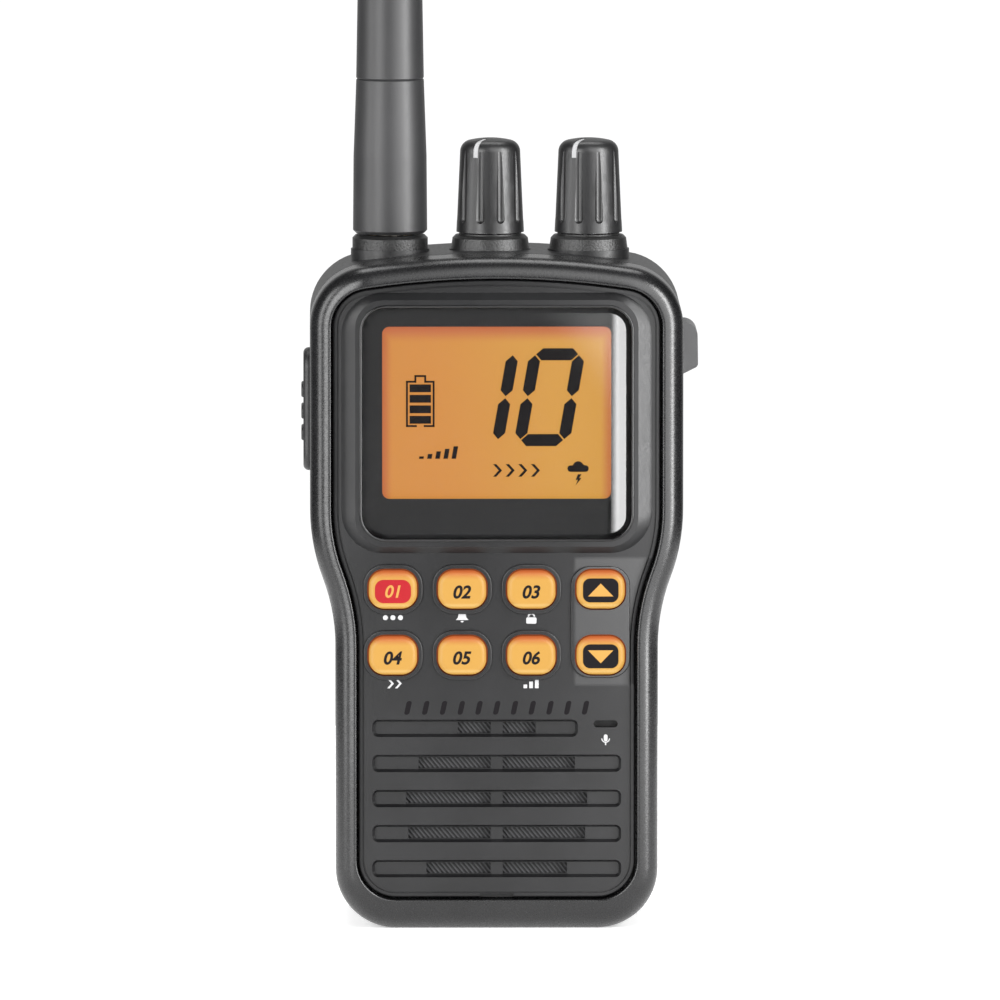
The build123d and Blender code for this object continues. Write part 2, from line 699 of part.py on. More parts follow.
def make_lcd_backlight():
    """Light guide behind the glass."""
    face = Pos(0, SCREEN_CENTRE) * RectangleRounded(LCD_WIDTH, LCD_HEIGHT, SCREEN_RADIUS)
    return slab(face, LCD_BACK, BACKLIGHT_BACK)


def make_key(x, z):
    """One translucent key with the flange that keeps it behind the panel."""
    face = Pos(x, z) * RectangleRounded(KEY_WIDTH, KEY_HEIGHT, KEY_RADIUS)
    flange_y = PANEL_BACK + KEY_REST_GAP
    cap = slab(face, PANEL_Y - KEY_PROUD, flange_y)
    cap = fillet(front_edges(cap), KEY_ROUND)
    flange = Pos(x, z) * RectangleRounded(
        KEY_WIDTH + 2 * KEY_FLANGE, KEY_HEIGHT + 2 * KEY_FLANGE, KEY_RADIUS + KEY_FLANGE
    )
    return cap + slab(flange, flange_y, flange_y + KEY_FLANGE_THICK)


def make_keypad_mat():
    """Silicone switch mat between the keys and the control board."""
    width = KEY_COLUMNS[-1] - KEY_COLUMNS[0] + KEY_WIDTH + MAT_MARGIN
    bottom = KEY_ROWS[1] - KEY_HEIGHT / 2 - MAT_MARGIN
    top = KEY_ROWS[0] + KEY_HEIGHT / 2 + MAT_MARGIN
    return slab(rounded(width, bottom, top, MAT_MARGIN), BOARD_Y - MAT_THICK + KEY_TRAVEL, BOARD_Y)


def make_case_gasket():
    """Sealing ring between the front frame and the rear case."""
    ring = body_outline(FACE_GAP) - body_outline(WALL, roof=ROOF_WALL - WALL)
    return slab(ring, SPLIT_Y, CASE_Y)


def make_rear_case():
    """Deep tub that holds the radio, with the battery bay in its back."""
    case = slab(body_outline(), CASE_Y, BACK_Y)
    case = fillet(back_edges(case), BACK_ROUND)
    case -= block((-HEAD_WIDTH, HEAD_WIDTH), (BAY_FLOOR_Y, BACK_Y + 1), (-1, BAY_TOP))
    inside = body_outline(WALL, roof=ROOF_WALL - WALL)
    case -= slab(inside, CASE_Y, BAY_INNER_Y)
    head = slab(inside, BAY_INNER_Y, BACK_Y - WALL)
    head &= block((-HEAD_WIDTH, HEAD_WIDTH), (CASE_Y, BACK_Y), (BAY_TOP + WALL, BODY_HEIGHT))
    case -= head

    shell_room = slab(body_outline(WALL / 2), CASE_Y, BACK_Y)
    for x, z, back in CASE_SCREWS:
        case += rod(x, z, BOSS_RADIUS, CASE_Y, back - WALL) & shell_room
        case -= rod(x, z, SCREW_RADIUS + SCREW_CLEARANCE, CASE_Y, back)
        head_y = back - 2 * SCREW_HEAD_HEIGHT
        case -= rod(x, z, SCREW_HEAD_RADIUS + SCREW_CLEARANCE, head_y, back)

    for x in (VOLUME_X, SQUELCH_X):
        case += upright(x, CONTROL_Y, COLLAR_RADIUS + PAD_MARGIN, BODY_HEIGHT - ROOF_WALL, TOP_PAD_Z)
        case -= upright(x, CONTROL_Y, BUSHING_RADIUS + FIT_GAP, POT_TOP_Z, TOP_PAD_Z)
    pad = ANTENNA_COLLAR_RADIUS + PAD_MARGIN
    case += upright(ANTENNA_X, CONTROL_Y, pad, BODY_HEIGHT - ROOF_WALL, TOP_PAD_Z)
    case -= upright(ANTENNA_X, CONTROL_Y, SOCKET_RADIUS + FIT_GAP, TOP_PAD_Z - SOCKET_DEPTH, TOP_PAD_Z)

    case -= side_slab(ptt_face(PTT_GAP), -HEAD_HALF, -HEAD_HALF + WALL)
    case -= cross_rod(JACK_Y, JACK_Z, JACK_RADIUS + FIT_GAP, HEAD_HALF - WALL, HEAD_HALF)

    for side in (-1, 1):
        x = side * PACK_SCREW_X
        tip = BAY_FLOOR_Y - PACK_SCREW_REACH
        case += rod(x, PACK_SCREW_Z, BOSS_RADIUS, tip, BAY_FLOOR_Y - FACE_GAP)
        case -= rod(x, PACK_SCREW_Z, PACK_SCREW_RADIUS, BAY_FLOOR_Y - PACK_SCREW_REACH, BAY_FLOOR_Y)
    for x in terminal_places():
        case -= terminal(x, BAY_FLOOR_Y - TERMINAL_THICK, BAY_FLOOR_Y)
    return case


def make_chassis():
    """Cast plate that carries both boards."""
    face = body_outline(WALL + CHASSIS_GAP, roof=ROOF_WALL - WALL)
    for x, z, _ in CASE_SCREWS:
        face -= Pos(x, z) * Circle(BOSS_RADIUS + CHASSIS_GAP / 2)
    plate = slab(face, SPLIT_Y, CHASSIS_BACK)
    for x, z in control_posts():
        plate += rod(x, z, POST_RADIUS, BOARD_BACK, SPLIT_Y)
    for x, z in radio_posts():
        plate += rod(x, z, POST_RADIUS, CHASSIS_BACK, RADIO_BOARD_Y)
    for x, z in CHASSIS_SCREWS:
        plate -= rod(x, z, SCREW_RADIUS + SCREW_CLEARANCE, SPLIT_Y, CHASSIS_BACK)
    return plate


def control_posts():
    """Corners of the control board, in from its edges."""
    x = CONTROL_BOARD_WIDTH / 2 - POST_RADIUS
    heights = (CONTROL_BOARD_BOTTOM + POST_RADIUS, CONTROL_BOARD_TOP - POST_RADIUS)
    return [(side * x, z) for side in (-1, 1) for z in heights]


def radio_posts():
    """Corners of the radio board, in from its edges."""
    x = RADIO_BOARD_WIDTH / 2 - POST_RADIUS
    heights = (RADIO_BOARD_BOTTOM + POST_RADIUS, RADIO_BOARD_TOP - POST_RADIUS)
    return [(side * x, z) for side in (-1, 1) for z in heights]


def make_control_board():
    """Board behind the keys and the screen."""
    face = rounded(CONTROL_BOARD_WIDTH, CONTROL_BOARD_BOTTOM, CONTROL_BOARD_TOP, POST_RADIUS)
    return slab(face, BOARD_Y, BOARD_BACK)


def make_radio_board():
    """Transmitter and receiver board, with a tab that carries the push-to-talk switch."""
    face = rounded(RADIO_BOARD_WIDTH, RADIO_BOARD_BOTTOM, RADIO_BOARD_TOP, POST_RADIUS)
    board = slab(face, RADIO_BOARD_Y, RADIO_BOARD_BACK)
    half = SWITCH_SIZE / 2 + SWITCH_MARGIN
    tab_height = (PTT_MIDDLE - half, PTT_MIDDLE + half)
    return board + block((SWITCH_X, 0), (RADIO_BOARD_Y, RADIO_BOARD_BACK), tab_height)


def make_shield_can():
    """Screening can over the radio circuits, open towards its board."""
    width = RADIO_BOARD_WIDTH - 4 * POST_RADIUS
    bottom = RADIO_BOARD_BOTTOM + 3 * POST_RADIUS
    top = RADIO_BOARD_TOP - 3 * POST_RADIUS
    can = slab(rounded(width, bottom, top, CAN_RADIUS), RADIO_BOARD_BACK, RADIO_BOARD_BACK + CAN_HEIGHT)
    inner = rounded(width - 2 * CAN_WALL, bottom + CAN_WALL, top - CAN_WALL, CAN_WALL)
    return can - slab(inner, RADIO_BOARD_BACK, RADIO_BOARD_BACK + CAN_HEIGHT - CAN_WALL)


# ---------------------------------------------------------------- sound


def make_speaker_cloth():
    """Water-shedding cloth behind the grille."""
    middle = (SLOT_ROWS[0] + SLOT_ROWS[-1]) / 2
    face = Pos(0, VENT_CENTRE) * Circle(CLOTH_RADIUS)
    face &= Pos(0, middle) * Rectangle(2 * CLOTH_RADIUS, CLOTH_HEIGHT)
    return slab(face, PANEL_BACK, PANEL_BACK + CLOTH_THICK)


def on_speaker_axis(solid):
    """Move a solid turned about Z so that its axis runs back from the speaker cloth."""
    return Pos(0, PANEL_BACK + CLOTH_THICK, SPEAKER_Z) * (Rot(-90, 0, 0) * solid)


def make_speaker_basket():
    """Round basket with a seat for the cone and windows in its back."""
    throat = MAGNET_RADIUS + BASKET_THROAT
    inside = BASKET_DEPTH - BASKET_WALL
    basket = turned(
        [
            (SPEAKER_RADIUS - SPEAKER_RIM, 0),
            (SPEAKER_RADIUS, 0),
            (SPEAKER_RADIUS, BASKET_RIM_DEPTH),
            (throat, BASKET_DEPTH),
            (MAGNET_RADIUS / 2, BASKET_DEPTH),
            (MAGNET_RADIUS / 2, inside),
            (throat - BASKET_WALL, inside),
            (SPEAKER_RADIUS - SPEAKER_RIM, BASKET_RIM_DEPTH - CONE_THICK / 2),
        ]
    )
    reach = throat + BASKET_WINDOW_WIDTH / 2 + CONE_THICK
    window = Box(BASKET_WINDOW_WIDTH, BASKET_WINDOW_LENGTH, BASKET_DEPTH)
    height = BASKET_DEPTH - BASKET_RIM_DEPTH + CONE_THICK / 2
    for quarter in range(4):
        basket -= Rot(0, 0, 90 * quarter) * Pos(reach, 0, height) * window
    return on_speaker_axis(basket)


def make_speaker_cone():
    """Paper cone with its dust cap."""
    edge = SPEAKER_RADIUS - SPEAKER_RIM - 2 * FIT_GAP
    roll = edge - CONE_ROLL
    cone = turned(
        [
            (0, CONE_DEPTH - CONE_CAP_RISE),
            (CONE_CAP_RADIUS, CONE_DEPTH),
            (roll, CONE_THICK),
            (edge, 2 * FIT_GAP),
            (edge, CONE_THICK + 2 * FIT_GAP),
            (roll, 2 * CONE_THICK),
            (CONE_CAP_RADIUS, CONE_DEPTH + 2 * CONE_THICK),
            (0, CONE_DEPTH + 2 * CONE_THICK - CONE_CAP_RISE),
        ]
    )
    return on_speaker_axis(cone)


def make_speaker_magnet():
    """Magnet on the back of the basket."""
    magnet = turned(
        [
            (0, BASKET_DEPTH),
            (MAGNET_RADIUS, BASKET_DEPTH),
            (MAGNET_RADIUS, BASKET_DEPTH + MAGNET_THICK - MAGNET_EDGE),
            (MAGNET_RADIUS - MAGNET_EDGE, BASKET_DEPTH + MAGNET_THICK),
            (0, BASKET_DEPTH + MAGNET_THICK),
        ]
    )
    return on_speaker_axis(magnet)


def make_microphone():
    """Electret capsule behind its slot."""
    return rod(MIC_X, MIC_Z, MIC_RADIUS, PANEL_BACK, PANEL_BACK + MIC_LENGTH)


# ---------------------------------------------------------------- top controls


def make_pot(x):
    """Rotary control with the bushing that its shaft runs in."""
    body = block(
        (x - POT_SIZE / 2, x + POT_SIZE / 2),
        (CONTROL_Y - POT_SIZE / 2, CONTROL_Y + POT_SIZE / 2),
        (POT_TOP_Z - POT_HEIGHT, POT_TOP_Z),
    )
    bushing_top = TOP_PAD_Z + BUSHING_PROUD
    bore = SHAFT_RADIUS + SHAFT_CLEARANCE
    body += upright(x, CONTROL_Y, BUSHING_RADIUS, POT_TOP_Z, bushing_top)
    return body - upright(x, CONTROL_Y, bore, POT_TOP_Z - POT_HEIGHT / 2, bushing_top)


def make_control_collar(x):
    """Rubbery collar with the neck that the knob runs over."""
    top = CONTROL_COLLAR_HEIGHT
    collar = turned(
        [
            (BUSHING_RADIUS + FIT_GAP, 0),
            (COLLAR_RADIUS, 0),
            (COLLAR_RADIUS - COLLAR_TAPER, top - COLLAR_CHAMFER),
            (COLLAR_RADIUS - COLLAR_TAPER - COLLAR_CHAMFER, top),
            (NECK_RADIUS, top),
            (NECK_RADIUS, top + NECK_HEIGHT),
            (BUSHING_RADIUS + FIT_GAP, top + NECK_HEIGHT),
        ]
    )
    return Pos(x, CONTROL_Y, TOP_PAD_Z) * collar


def knob_form(inset):
    """The knob's turned form, drawn in by an inset."""
    bottom = KNOB_RADIUS - inset
    top = KNOB_TOP_RADIUS - inset
    height = KNOB_HEIGHT - inset
    shoulder = height - KNOB_DOME
    dome = (top**2 + KNOB_DOME**2) / (2 * KNOB_DOME)
    half_way = height - dome + sqrt(dome**2 - (top / 2) ** 2)
    floor = Line((0, 0), (bottom, 0))
    side = Line((bottom, 0), (top, shoulder))
    crown = ThreePointArc((top, shoulder), (top / 2, half_way), (0, height))
    axis = Line((0, height), (0, 0))
    profile = make_face(Curve() + [floor, side, crown, axis])
    rim = profile.vertices().sort_by(Axis.Y)[-2]
    return revolve(Plane.XZ * fillet(rim, KNOB_SHOULDER - inset), Axis.Z)


def make_knob(x):
    """Fluted knob, bored for its shaft and grooved for its pointer."""
    knob = knob_form(0.0)
    reach = KNOB_RADIUS - FLUTE_DEPTH + FLUTE_RADIUS
    lean = degrees(atan2(KNOB_RADIUS - KNOB_TOP_RADIUS - FLUTE_DEPTH, FLUTE_TOP - FLUTE_BOTTOM))
    length = FLUTE_TOP - FLUTE_BOTTOM
    cutter = extrude(Circle(FLUTE_RADIUS), amount=length) + Sphere(FLUTE_RADIUS)
    for turn in range(FLUTE_COUNT):
        heading = 360 * (turn + 0.5) / FLUTE_COUNT - 90
        knob -= Rot(0, 0, heading) * Pos(reach, 0, FLUTE_BOTTOM) * Rot(0, -lean, 0) * cutter
    knob -= extrude(Circle(SHAFT_RADIUS + FIT_GAP), amount=SHAFT_INTO_KNOB + FACE_GAP)
    knob -= pointer_bar() - knob_form(POINTER_DEPTH)
    return Pos(x, CONTROL_Y, KNOB_Z) * knob


def pointer_bar():
    """The upright slice of the knob that its pointer lies in."""
    bar = block(
        (-POINTER_WIDTH / 2, POINTER_WIDTH / 2),
        (-KNOB_RADIUS - 1, -POINTER_START),
        (KNOB_HEIGHT - POINTER_DROP, KNOB_HEIGHT + 1),
    )
    return Rot(0, 0, POINTER_ANGLE) * bar


def make_pointer(x):
    """White pointer inlaid in the knob."""
    bar = pointer_bar() & knob_form(POINTER_SINK)
    return Pos(x, CONTROL_Y, KNOB_Z) * (bar - knob_form(POINTER_DEPTH))


def make_shaft(x):
    """Flatted shaft that turns with its knob."""
    bottom = POT_TOP_Z - POT_HEIGHT / 2 + FACE_GAP
    top = KNOB_Z + SHAFT_INTO_KNOB
    shaft = upright(x, CONTROL_Y, SHAFT_RADIUS, bottom, top)
    flat = (CONTROL_Y + SHAFT_FLAT, CONTROL_Y + SHAFT_RADIUS)
    return shaft - block((x - SHAFT_RADIUS, x + SHAFT_RADIUS), flat, (KNOB_Z + 1, top))


# ---------------------------------------------------------------- antenna


def make_antenna_collar():
    """Rubbery collar under the antenna."""
    top = CONTROL_COLLAR_HEIGHT
    collar = turned(
        [
            (SOCKET_RADIUS + FIT_GAP, 0),
            (ANTENNA_COLLAR_RADIUS, 0),
            (ANTENNA_COLLAR_RADIUS, top - COLLAR_CHAMFER),
            (ANTENNA_COLLAR_RADIUS - COLLAR_CHAMFER, top),
            (SOCKET_RADIUS + FIT_GAP, top),
        ]
    )
    return Pos(ANTENNA_X, CONTROL_Y, TOP_PAD_Z) * collar


def make_antenna_socket():
    """Threaded socket in the roof of the case."""
    top = TOP_PAD_Z + CONTROL_COLLAR_HEIGHT - FACE_GAP
    socket = upright(ANTENNA_X, CONTROL_Y, SOCKET_RADIUS, TOP_PAD_Z - SOCKET_DEPTH, top)
    floor = ANTENNA_Z - STUD_LENGTH - SOCKET_FLOOR
    return socket - upright(ANTENNA_X, CONTROL_Y, STUD_RADIUS + STUD_CLEARANCE, floor, top)


def make_antenna_stud():
    """Metal stud moulded into the foot of the antenna."""
    stud = upright(ANTENNA_X, CONTROL_Y, STUD_RADIUS, ANTENNA_Z - STUD_LENGTH, ANTENNA_Z + STUD_INSIDE)
    return chamfer(stud.edges().sort_by(Axis.Z)[0], STUD_CHAMFER)


def make_antenna_boot():
    """Stout lower sleeve of the antenna."""
    height = ANTENNA_SEAM_Z - ANTENNA_Z
    boot = turned(
        [
            (0, 0),
            (ANTENNA_RADIUS - ANTENNA_FOOT_CHAMFER, 0),
            (ANTENNA_RADIUS, ANTENNA_FOOT_CHAMFER),
            (ANTENNA_RADIUS - ANTENNA_BOOT_DRAW, height / 2),
            (ANTENNA_SEAM_RADIUS, height - ANTENNA_SEAM_GROOVE),
            (ANTENNA_SEAM_RADIUS - ANTENNA_SEAM_GROOVE, height),
            (0, height),
        ]
    )
    boot -= extrude(Circle(STUD_RADIUS), amount=STUD_INSIDE)
    outer = SEAL_RADIUS + SEAL_WIRE + SEAL_GROOVE
    inner = SEAL_RADIUS - SEAL_WIRE - SEAL_GROOVE
    boot -= extrude(Circle(outer) - Circle(inner), amount=2 * SEAL_WIRE + SEAL_GROOVE)
    return Pos(ANTENNA_X, CONTROL_Y, ANTENNA_Z) * boot


def make_antenna_whip():
    """Flexible upper sheath, tapering to a round tip."""
    height = ANTENNA_TOP_Z - ANTENNA_SEAM_Z
    tip = height - ANTENNA_TOP_RADIUS
    groove = ANTENNA_SEAM_GROOVE
    floor = Line((0, 0), (ANTENNA_SEAM_RADIUS - groove, 0))
    lip = Line((ANTENNA_SEAM_RADIUS - groove, 0), (ANTENNA_SEAM_RADIUS, groove))
    side = Line((ANTENNA_SEAM_RADIUS, groove), (ANTENNA_TOP_RADIUS, tip))
    bend = ThreePointArc(
        (ANTENNA_TOP_RADIUS, tip),
        (ANTENNA_TOP_RADIUS * sin(radians(45)), tip + ANTENNA_TOP_RADIUS * sin(radians(45))),
        (0, height),
    )
    axis = Line((0, height), (0, 0))
    whip = revolve(make_face(Plane.XZ * (Curve() + [floor, lip, side, bend, axis])), Axis.Z)
    return Pos(ANTENNA_X, CONTROL_Y, ANTENNA_SEAM_Z) * whip


def make_antenna_seal():
    """Sealing ring that rises with the antenna as it is screwed out."""
    return Pos(ANTENNA_X, CONTROL_Y, ANTENNA_Z + SEAL_WIRE) * Torus(SEAL_RADIUS, SEAL_WIRE)


# ---------------------------------------------------------------- side controls


def ptt_face(margin):
    """The push-to-talk bar seen from the side, in Y and Z."""
    return Pos(PTT_Y, PTT_MIDDLE) * RectangleRounded(
        PTT_DEPTH + 2 * margin, PTT_HEIGHT + 2 * margin, PTT_RADIUS + margin
    )


def make_ptt_pad():
    """Rubber push-to-talk bar with three ridges, a flange inside the wall and a nub for its switch."""
    outside = -HEAD_HALF - PTT_PROUD
    pad = side_slab(ptt_face(0), outside, PTT_INSIDE)
    pad = fillet(pad.faces().sort_by(Axis.X)[0].edges(), PTT_ROUND)
    for z in PTT_RIDGES:
        ridge = Pos(PTT_Y, z) * SlotOverall(PTT_DEPTH - 2 * PTT_RIDGE_SIDE, PTT_RIDGE_WIDTH)
        bar = side_slab(ridge, outside - PTT_RIDGE_PROUD, outside + PTT_ROUND)
        pad += fillet(bar.faces().sort_by(Axis.X)[0].edges(), PTT_RIDGE_PROUD * 0.9)
    nub = PTT_INSIDE + PTT_FLANGE_THICK
    pad += side_slab(ptt_face(PTT_FLANGE), PTT_INSIDE, nub)
    return pad + cross_rod(PTT_Y, PTT_MIDDLE, PTT_NUB_RADIUS, nub, nub + PTT_NUB_LENGTH)


def make_ptt_switch():
    """Switch on the radio board's tab, behind the push-to-talk bar."""
    half = SWITCH_SIZE / 2
    return block(
        (SWITCH_X, SWITCH_X + SWITCH_DEPTH),
        (RADIO_BOARD_BACK, RADIO_BOARD_BACK + SWITCH_TALL),
        (PTT_MIDDLE - half, PTT_MIDDLE + half),
    )


def make_accessory_jack():
    """Socket barrel for a speaker microphone."""
    left = HEAD_HALF - JACK_LENGTH
    barrel = cross_rod(JACK_Y, JACK_Z, JACK_RADIUS, left, HEAD_HALF)
    return barrel - cross_rod(JACK_Y, JACK_Z, JACK_BORE, left + JACK_END, HEAD_HALF)


def make_jack_cover():
    """Rubber flap over the socket, with a shallow plug on its inner face."""
    inner = HEAD_HALF + JACK_COVER_GAP
    outer = HEAD_HALF + JACK_COVER_PROUD
    profile = make_face(
        Polyline(
            (inner, JACK_COVER_BOTTOM),
            (outer, JACK_COVER_BOTTOM + JACK_COVER_CHIN),
            (outer - JACK_COVER_GAP, JACK_COVER_TOP),
            (inner, JACK_COVER_TOP),
            close=True,
        )
    )
    right = profile.vertices().sort_by(Axis.X)[-2:].sort_by(Axis.Y)
    profile = fillet(right[-1], JACK_COVER_SHOULDER)
    right = profile.vertices().group_by(Axis.X)[-1].sort_by(Axis.Y)
    profile = fillet(right[0], JACK_COVER_ROUND)
    front = JACK_Y - JACK_COVER_DEPTH / 2
    cover = slab(profile, front, front + JACK_COVER_DEPTH)
    plug = cross_rod(JACK_Y, JACK_Z, JACK_PLUG_RADIUS, inner - JACK_PLUG_LENGTH, inner)
    return cover + plug


# ---------------------------------------------------------------- battery pack


def terminal_places():
    """The X of each battery terminal."""
    return [TERMINAL_PITCH * (place - 1) for place in range(3)]


def terminal(x, front, back):
    """One flat terminal."""
    half = TERMINAL_WIDTH / 2
    return block((x - half, x + half), (front, back), (TERMINAL_Z, TERMINAL_Z + TERMINAL_HEIGHT))


def make_battery_case():
    """Front half of the pack, which faces the radio."""
    case = slab(pack_outline(), PACK_Y, PACK_SPLIT_Y)
    case -= slab(pack_outline(PACK_WALL), PACK_Y + PACK_WALL, PACK_SPLIT_Y)
    for side in (-1, 1):
        x = side * PACK_SCREW_X
        case += rod(x, PACK_SCREW_Z, PACK_COLUMN_RADIUS, PACK_Y, PACK_SPLIT_Y) & slab(
            pack_outline(PACK_WALL / 2), PACK_Y, PACK_SPLIT_Y
        )
        case -= rod(x, PACK_SCREW_Z, PACK_SCREW_RADIUS + SCREW_CLEARANCE, PACK_Y, PACK_SPLIT_Y)
    for x in terminal_places():
        case -= terminal(x, PACK_Y, PACK_Y + TERMINAL_THICK)
    return case


def make_battery_back():
    """Back half of the pack, rounded where it lies in the hand."""
    back = slab(pack_outline(), PACK_SPLIT_Y, BACK_Y)
    back = fillet(back_edges(back), BACK_ROUND)
    back -= slab(pack_outline(PACK_WALL), PACK_SPLIT_Y, BACK_Y - PACK_WALL)
    for side in (-1, 1):
        x = side * PACK_SCREW_X
        back += rod(x, PACK_SCREW_Z, PACK_COLUMN_RADIUS, PACK_SPLIT_Y, BACK_Y - PACK_WALL) & slab(
            pack_outline(PACK_WALL / 2), PACK_SPLIT_Y, BACK_Y
        )
        back -= rod(x, PACK_SCREW_Z, PACK_SCREW_RADIUS + SCREW_CLEARANCE, PACK_SPLIT_Y, BACK_Y)
        head_room = PACK_SCREW_HEAD_HEIGHT + FACE_GAP
        back -= rod(x, PACK_SCREW_Z, PACK_SCREW_HEAD + SCREW_CLEARANCE, BACK_Y - head_room, BACK_Y)
    for side in (-1, 1):
        back -= rod(side * CLIP_SCREW_X, clip_screw_z(), SCREW_RADIUS, BACK_Y - PACK_WALL, BACK_Y)
    return back


def make_battery_cells():
    """Two flat cells side by side."""
    cells = []
    for side in (-1, 1):
        face = Pos(side * CELL_SPACING / 2, CELL_BOTTOM + CELL_HEIGHT / 2) * RectangleRounded(
            CELL_WIDTH, CELL_HEIGHT, CELL_ROUND
        )
        cells.append(slab(face, PACK_Y + PACK_WALL, BACK_Y - PACK_WALL - FACE_GAP))
    return Compound(children=cells)


def make_plates(front, back):
    """A row of flat terminals as separate pieces."""
    return Compound(children=[terminal(x, front, back) for x in terminal_places()])


# ---------------------------------------------------------------- belt clip


def clip_screw_z():
    """Height of the two screws that hold the clip's bracket."""
    return CLIP_AXIS_Z - CLIP_BARREL_RADIUS - SCREW_HEAD_RADIUS - CLIP_SCREW_GAP


def make_clip_mount():
    """Bracket with two ears for the clip's pin."""
    half = CLIP_WIDTH / 2 + CLIP_EAR_GAP + CLIP_EAR_WIDTH
    top = CLIP_AXIS_Z + CLIP_BARREL_RADIUS + MOUNT_PLATE_MARGIN
    plate_y = BACK_Y + MOUNT_PLATE_THICK
    plate = rounded(2 * half, top - MOUNT_PLATE_HEIGHT, top, MOUNT_PLATE_MARGIN)
    mount = slab(plate, BACK_Y, plate_y)
    foot = Rectangle(CLIP_AXIS_OUT, 2 * CLIP_BARREL_RADIUS)
    foot = Pos((BACK_Y + CLIP_AXIS_Y) / 2, CLIP_AXIS_Z) * foot
    ear = foot + Pos(CLIP_AXIS_Y, CLIP_AXIS_Z) * Circle(CLIP_BARREL_RADIUS)
    ear -= Pos(CLIP_AXIS_Y, CLIP_AXIS_Z) * Circle(CLIP_PIN_RADIUS)
    for side in (-1, 1):
        inner = side * (half - CLIP_EAR_WIDTH)
        left, right = sorted((inner, side * half))
        mount += side_slab(ear, left, right)
    for side in (-1, 1):
        mount -= rod(side * CLIP_SCREW_X, clip_screw_z(), SCREW_RADIUS + SCREW_CLEARANCE, BACK_Y, plate_y)
    return mount


def make_clip_pin():
    """Steel pin across the ears."""
    half = CLIP_WIDTH / 2 + CLIP_EAR_GAP + CLIP_EAR_WIDTH
    return cross_rod(CLIP_AXIS_Y, CLIP_AXIS_Z, CLIP_PIN_RADIUS, -half, half)


def make_belt_clip():
    """Sprung belt clip: thumb plate, barrel, long tongue and a hooked tip."""
    inner = BACK_Y + CLIP_GAP
    outer = inner + CLIP_THICK
    tip = BACK_Y + CLIP_TIP_GAP
    low = CLIP_BOTTOM + CLIP_TIP_LENGTH
    profile = make_face(
        Polyline(
            (inner, CLIP_TOP),
            (inner, low),
            (tip, CLIP_BOTTOM + CLIP_TIP_LENGTH * 0.45),
            (tip, CLIP_BOTTOM + CLIP_TIP_LENGTH * 0.2),
            (tip + CLIP_THICK * 0.6, CLIP_BOTTOM),
            (outer - CLIP_THICK / 2, CLIP_BOTTOM + CLIP_TIP_LENGTH * 0.35),
            (outer, CLIP_BOTTOM + CLIP_TIP_LENGTH * 0.7),
            (outer, CLIP_TOP - CLIP_THUMB_LIP),
            (outer + CLIP_THUMB_LIP, CLIP_TOP + CLIP_THUMB_LIP),
            (outer - CLIP_THUMB_LIP, CLIP_TOP + 2 * CLIP_THUMB_LIP),
            close=True,
        )
    )
    profile += Pos(CLIP_AXIS_Y, CLIP_AXIS_Z) * Circle(CLIP_BARREL_RADIUS)
    clip = side_slab(profile, -CLIP_WIDTH / 2, CLIP_WIDTH / 2)
    bore = CLIP_PIN_RADIUS + CLIP_PIN_CLEARANCE
    clip -= cross_rod(CLIP_AXIS_Y, CLIP_AXIS_Z, bore, -CLIP_WIDTH, CLIP_WIDTH)
    room = SPRING_ROOM / 2
    reach = CLIP_BARREL_RADIUS + CLIP_EAR_GAP
    clip -= block(
        (-room, room),
        (BACK_Y, CLIP_AXIS_Y + SPRING_RADIUS + SPRING_WIRE + FACE_GAP),
        (CLIP_AXIS_Z - reach, CLIP_AXIS_Z + reach),
    )
    sides = clip.edges().filter_by(Axis.Z).sort_by(Axis.Y)[-2:]
    return fillet(sides, CLIP_THICK * 0.4)


def make_clip_spring():
    """Coil spring round the clip's pin."""
    path = Helix(pitch=SPRING_LENGTH / SPRING_COILS, height=SPRING_LENGTH, radius=SPRING_RADIUS)
    start = path @ 0
    wire = Plane(origin=start, z_dir=path % 0) * Circle(SPRING_WIRE)
    coil = sweep(wire, path=path)
    return Pos(-SPRING_LENGTH / 2, CLIP_AXIS_Y, CLIP_AXIS_Z) * (Rot(0, 90, 0) * coil)


def make_lanyard_loop():
    """Loop for a wrist strap on the back of the head."""
    centre_y = BACK_Y + LOOP_OUT
    face = Pos(centre_y, LOOP_Z) * Circle(LOOP_RADIUS)
    face += Pos((BACK_Y + centre_y) / 2, LOOP_Z) * Rectangle(LOOP_OUT, 2 * LOOP_RADIUS)
    foot = Rectangle(LOOP_FOOT, 2 * LOOP_RADIUS + 2 * LOOP_FOOT)
    face += Pos(BACK_Y + LOOP_FOOT / 2, LOOP_Z) * foot
    face &= Pos(BACK_Y + HEAD_WIDTH / 2, LOOP_Z) * Rectangle(HEAD_WIDTH, HEAD_WIDTH)
    face -= Pos(centre_y, LOOP_Z) * Circle(LOOP_BORE)
    return side_slab(face, LOOP_X - LOOP_WIDTH / 2, LOOP_X + LOOP_WIDTH / 2)


# ---------------------------------------------------------------- screws


def make_case_screws():
    """Four long screws that close the case."""
    tip = LEDGE_BACK + 2 * FACE_GAP
    sink = 2 * SCREW_HEAD_HEIGHT
    return Compound(children=[screw(x, z, back - sink, tip) for x, z, back in CASE_SCREWS])


def make_board_screws():
    """Four screws that hold the chassis to the front frame."""
    tip = LEDGE_BACK + 2 * FACE_GAP
    return Compound(children=[screw(x, z, CHASSIS_BACK, tip) for x, z in CHASSIS_SCREWS])


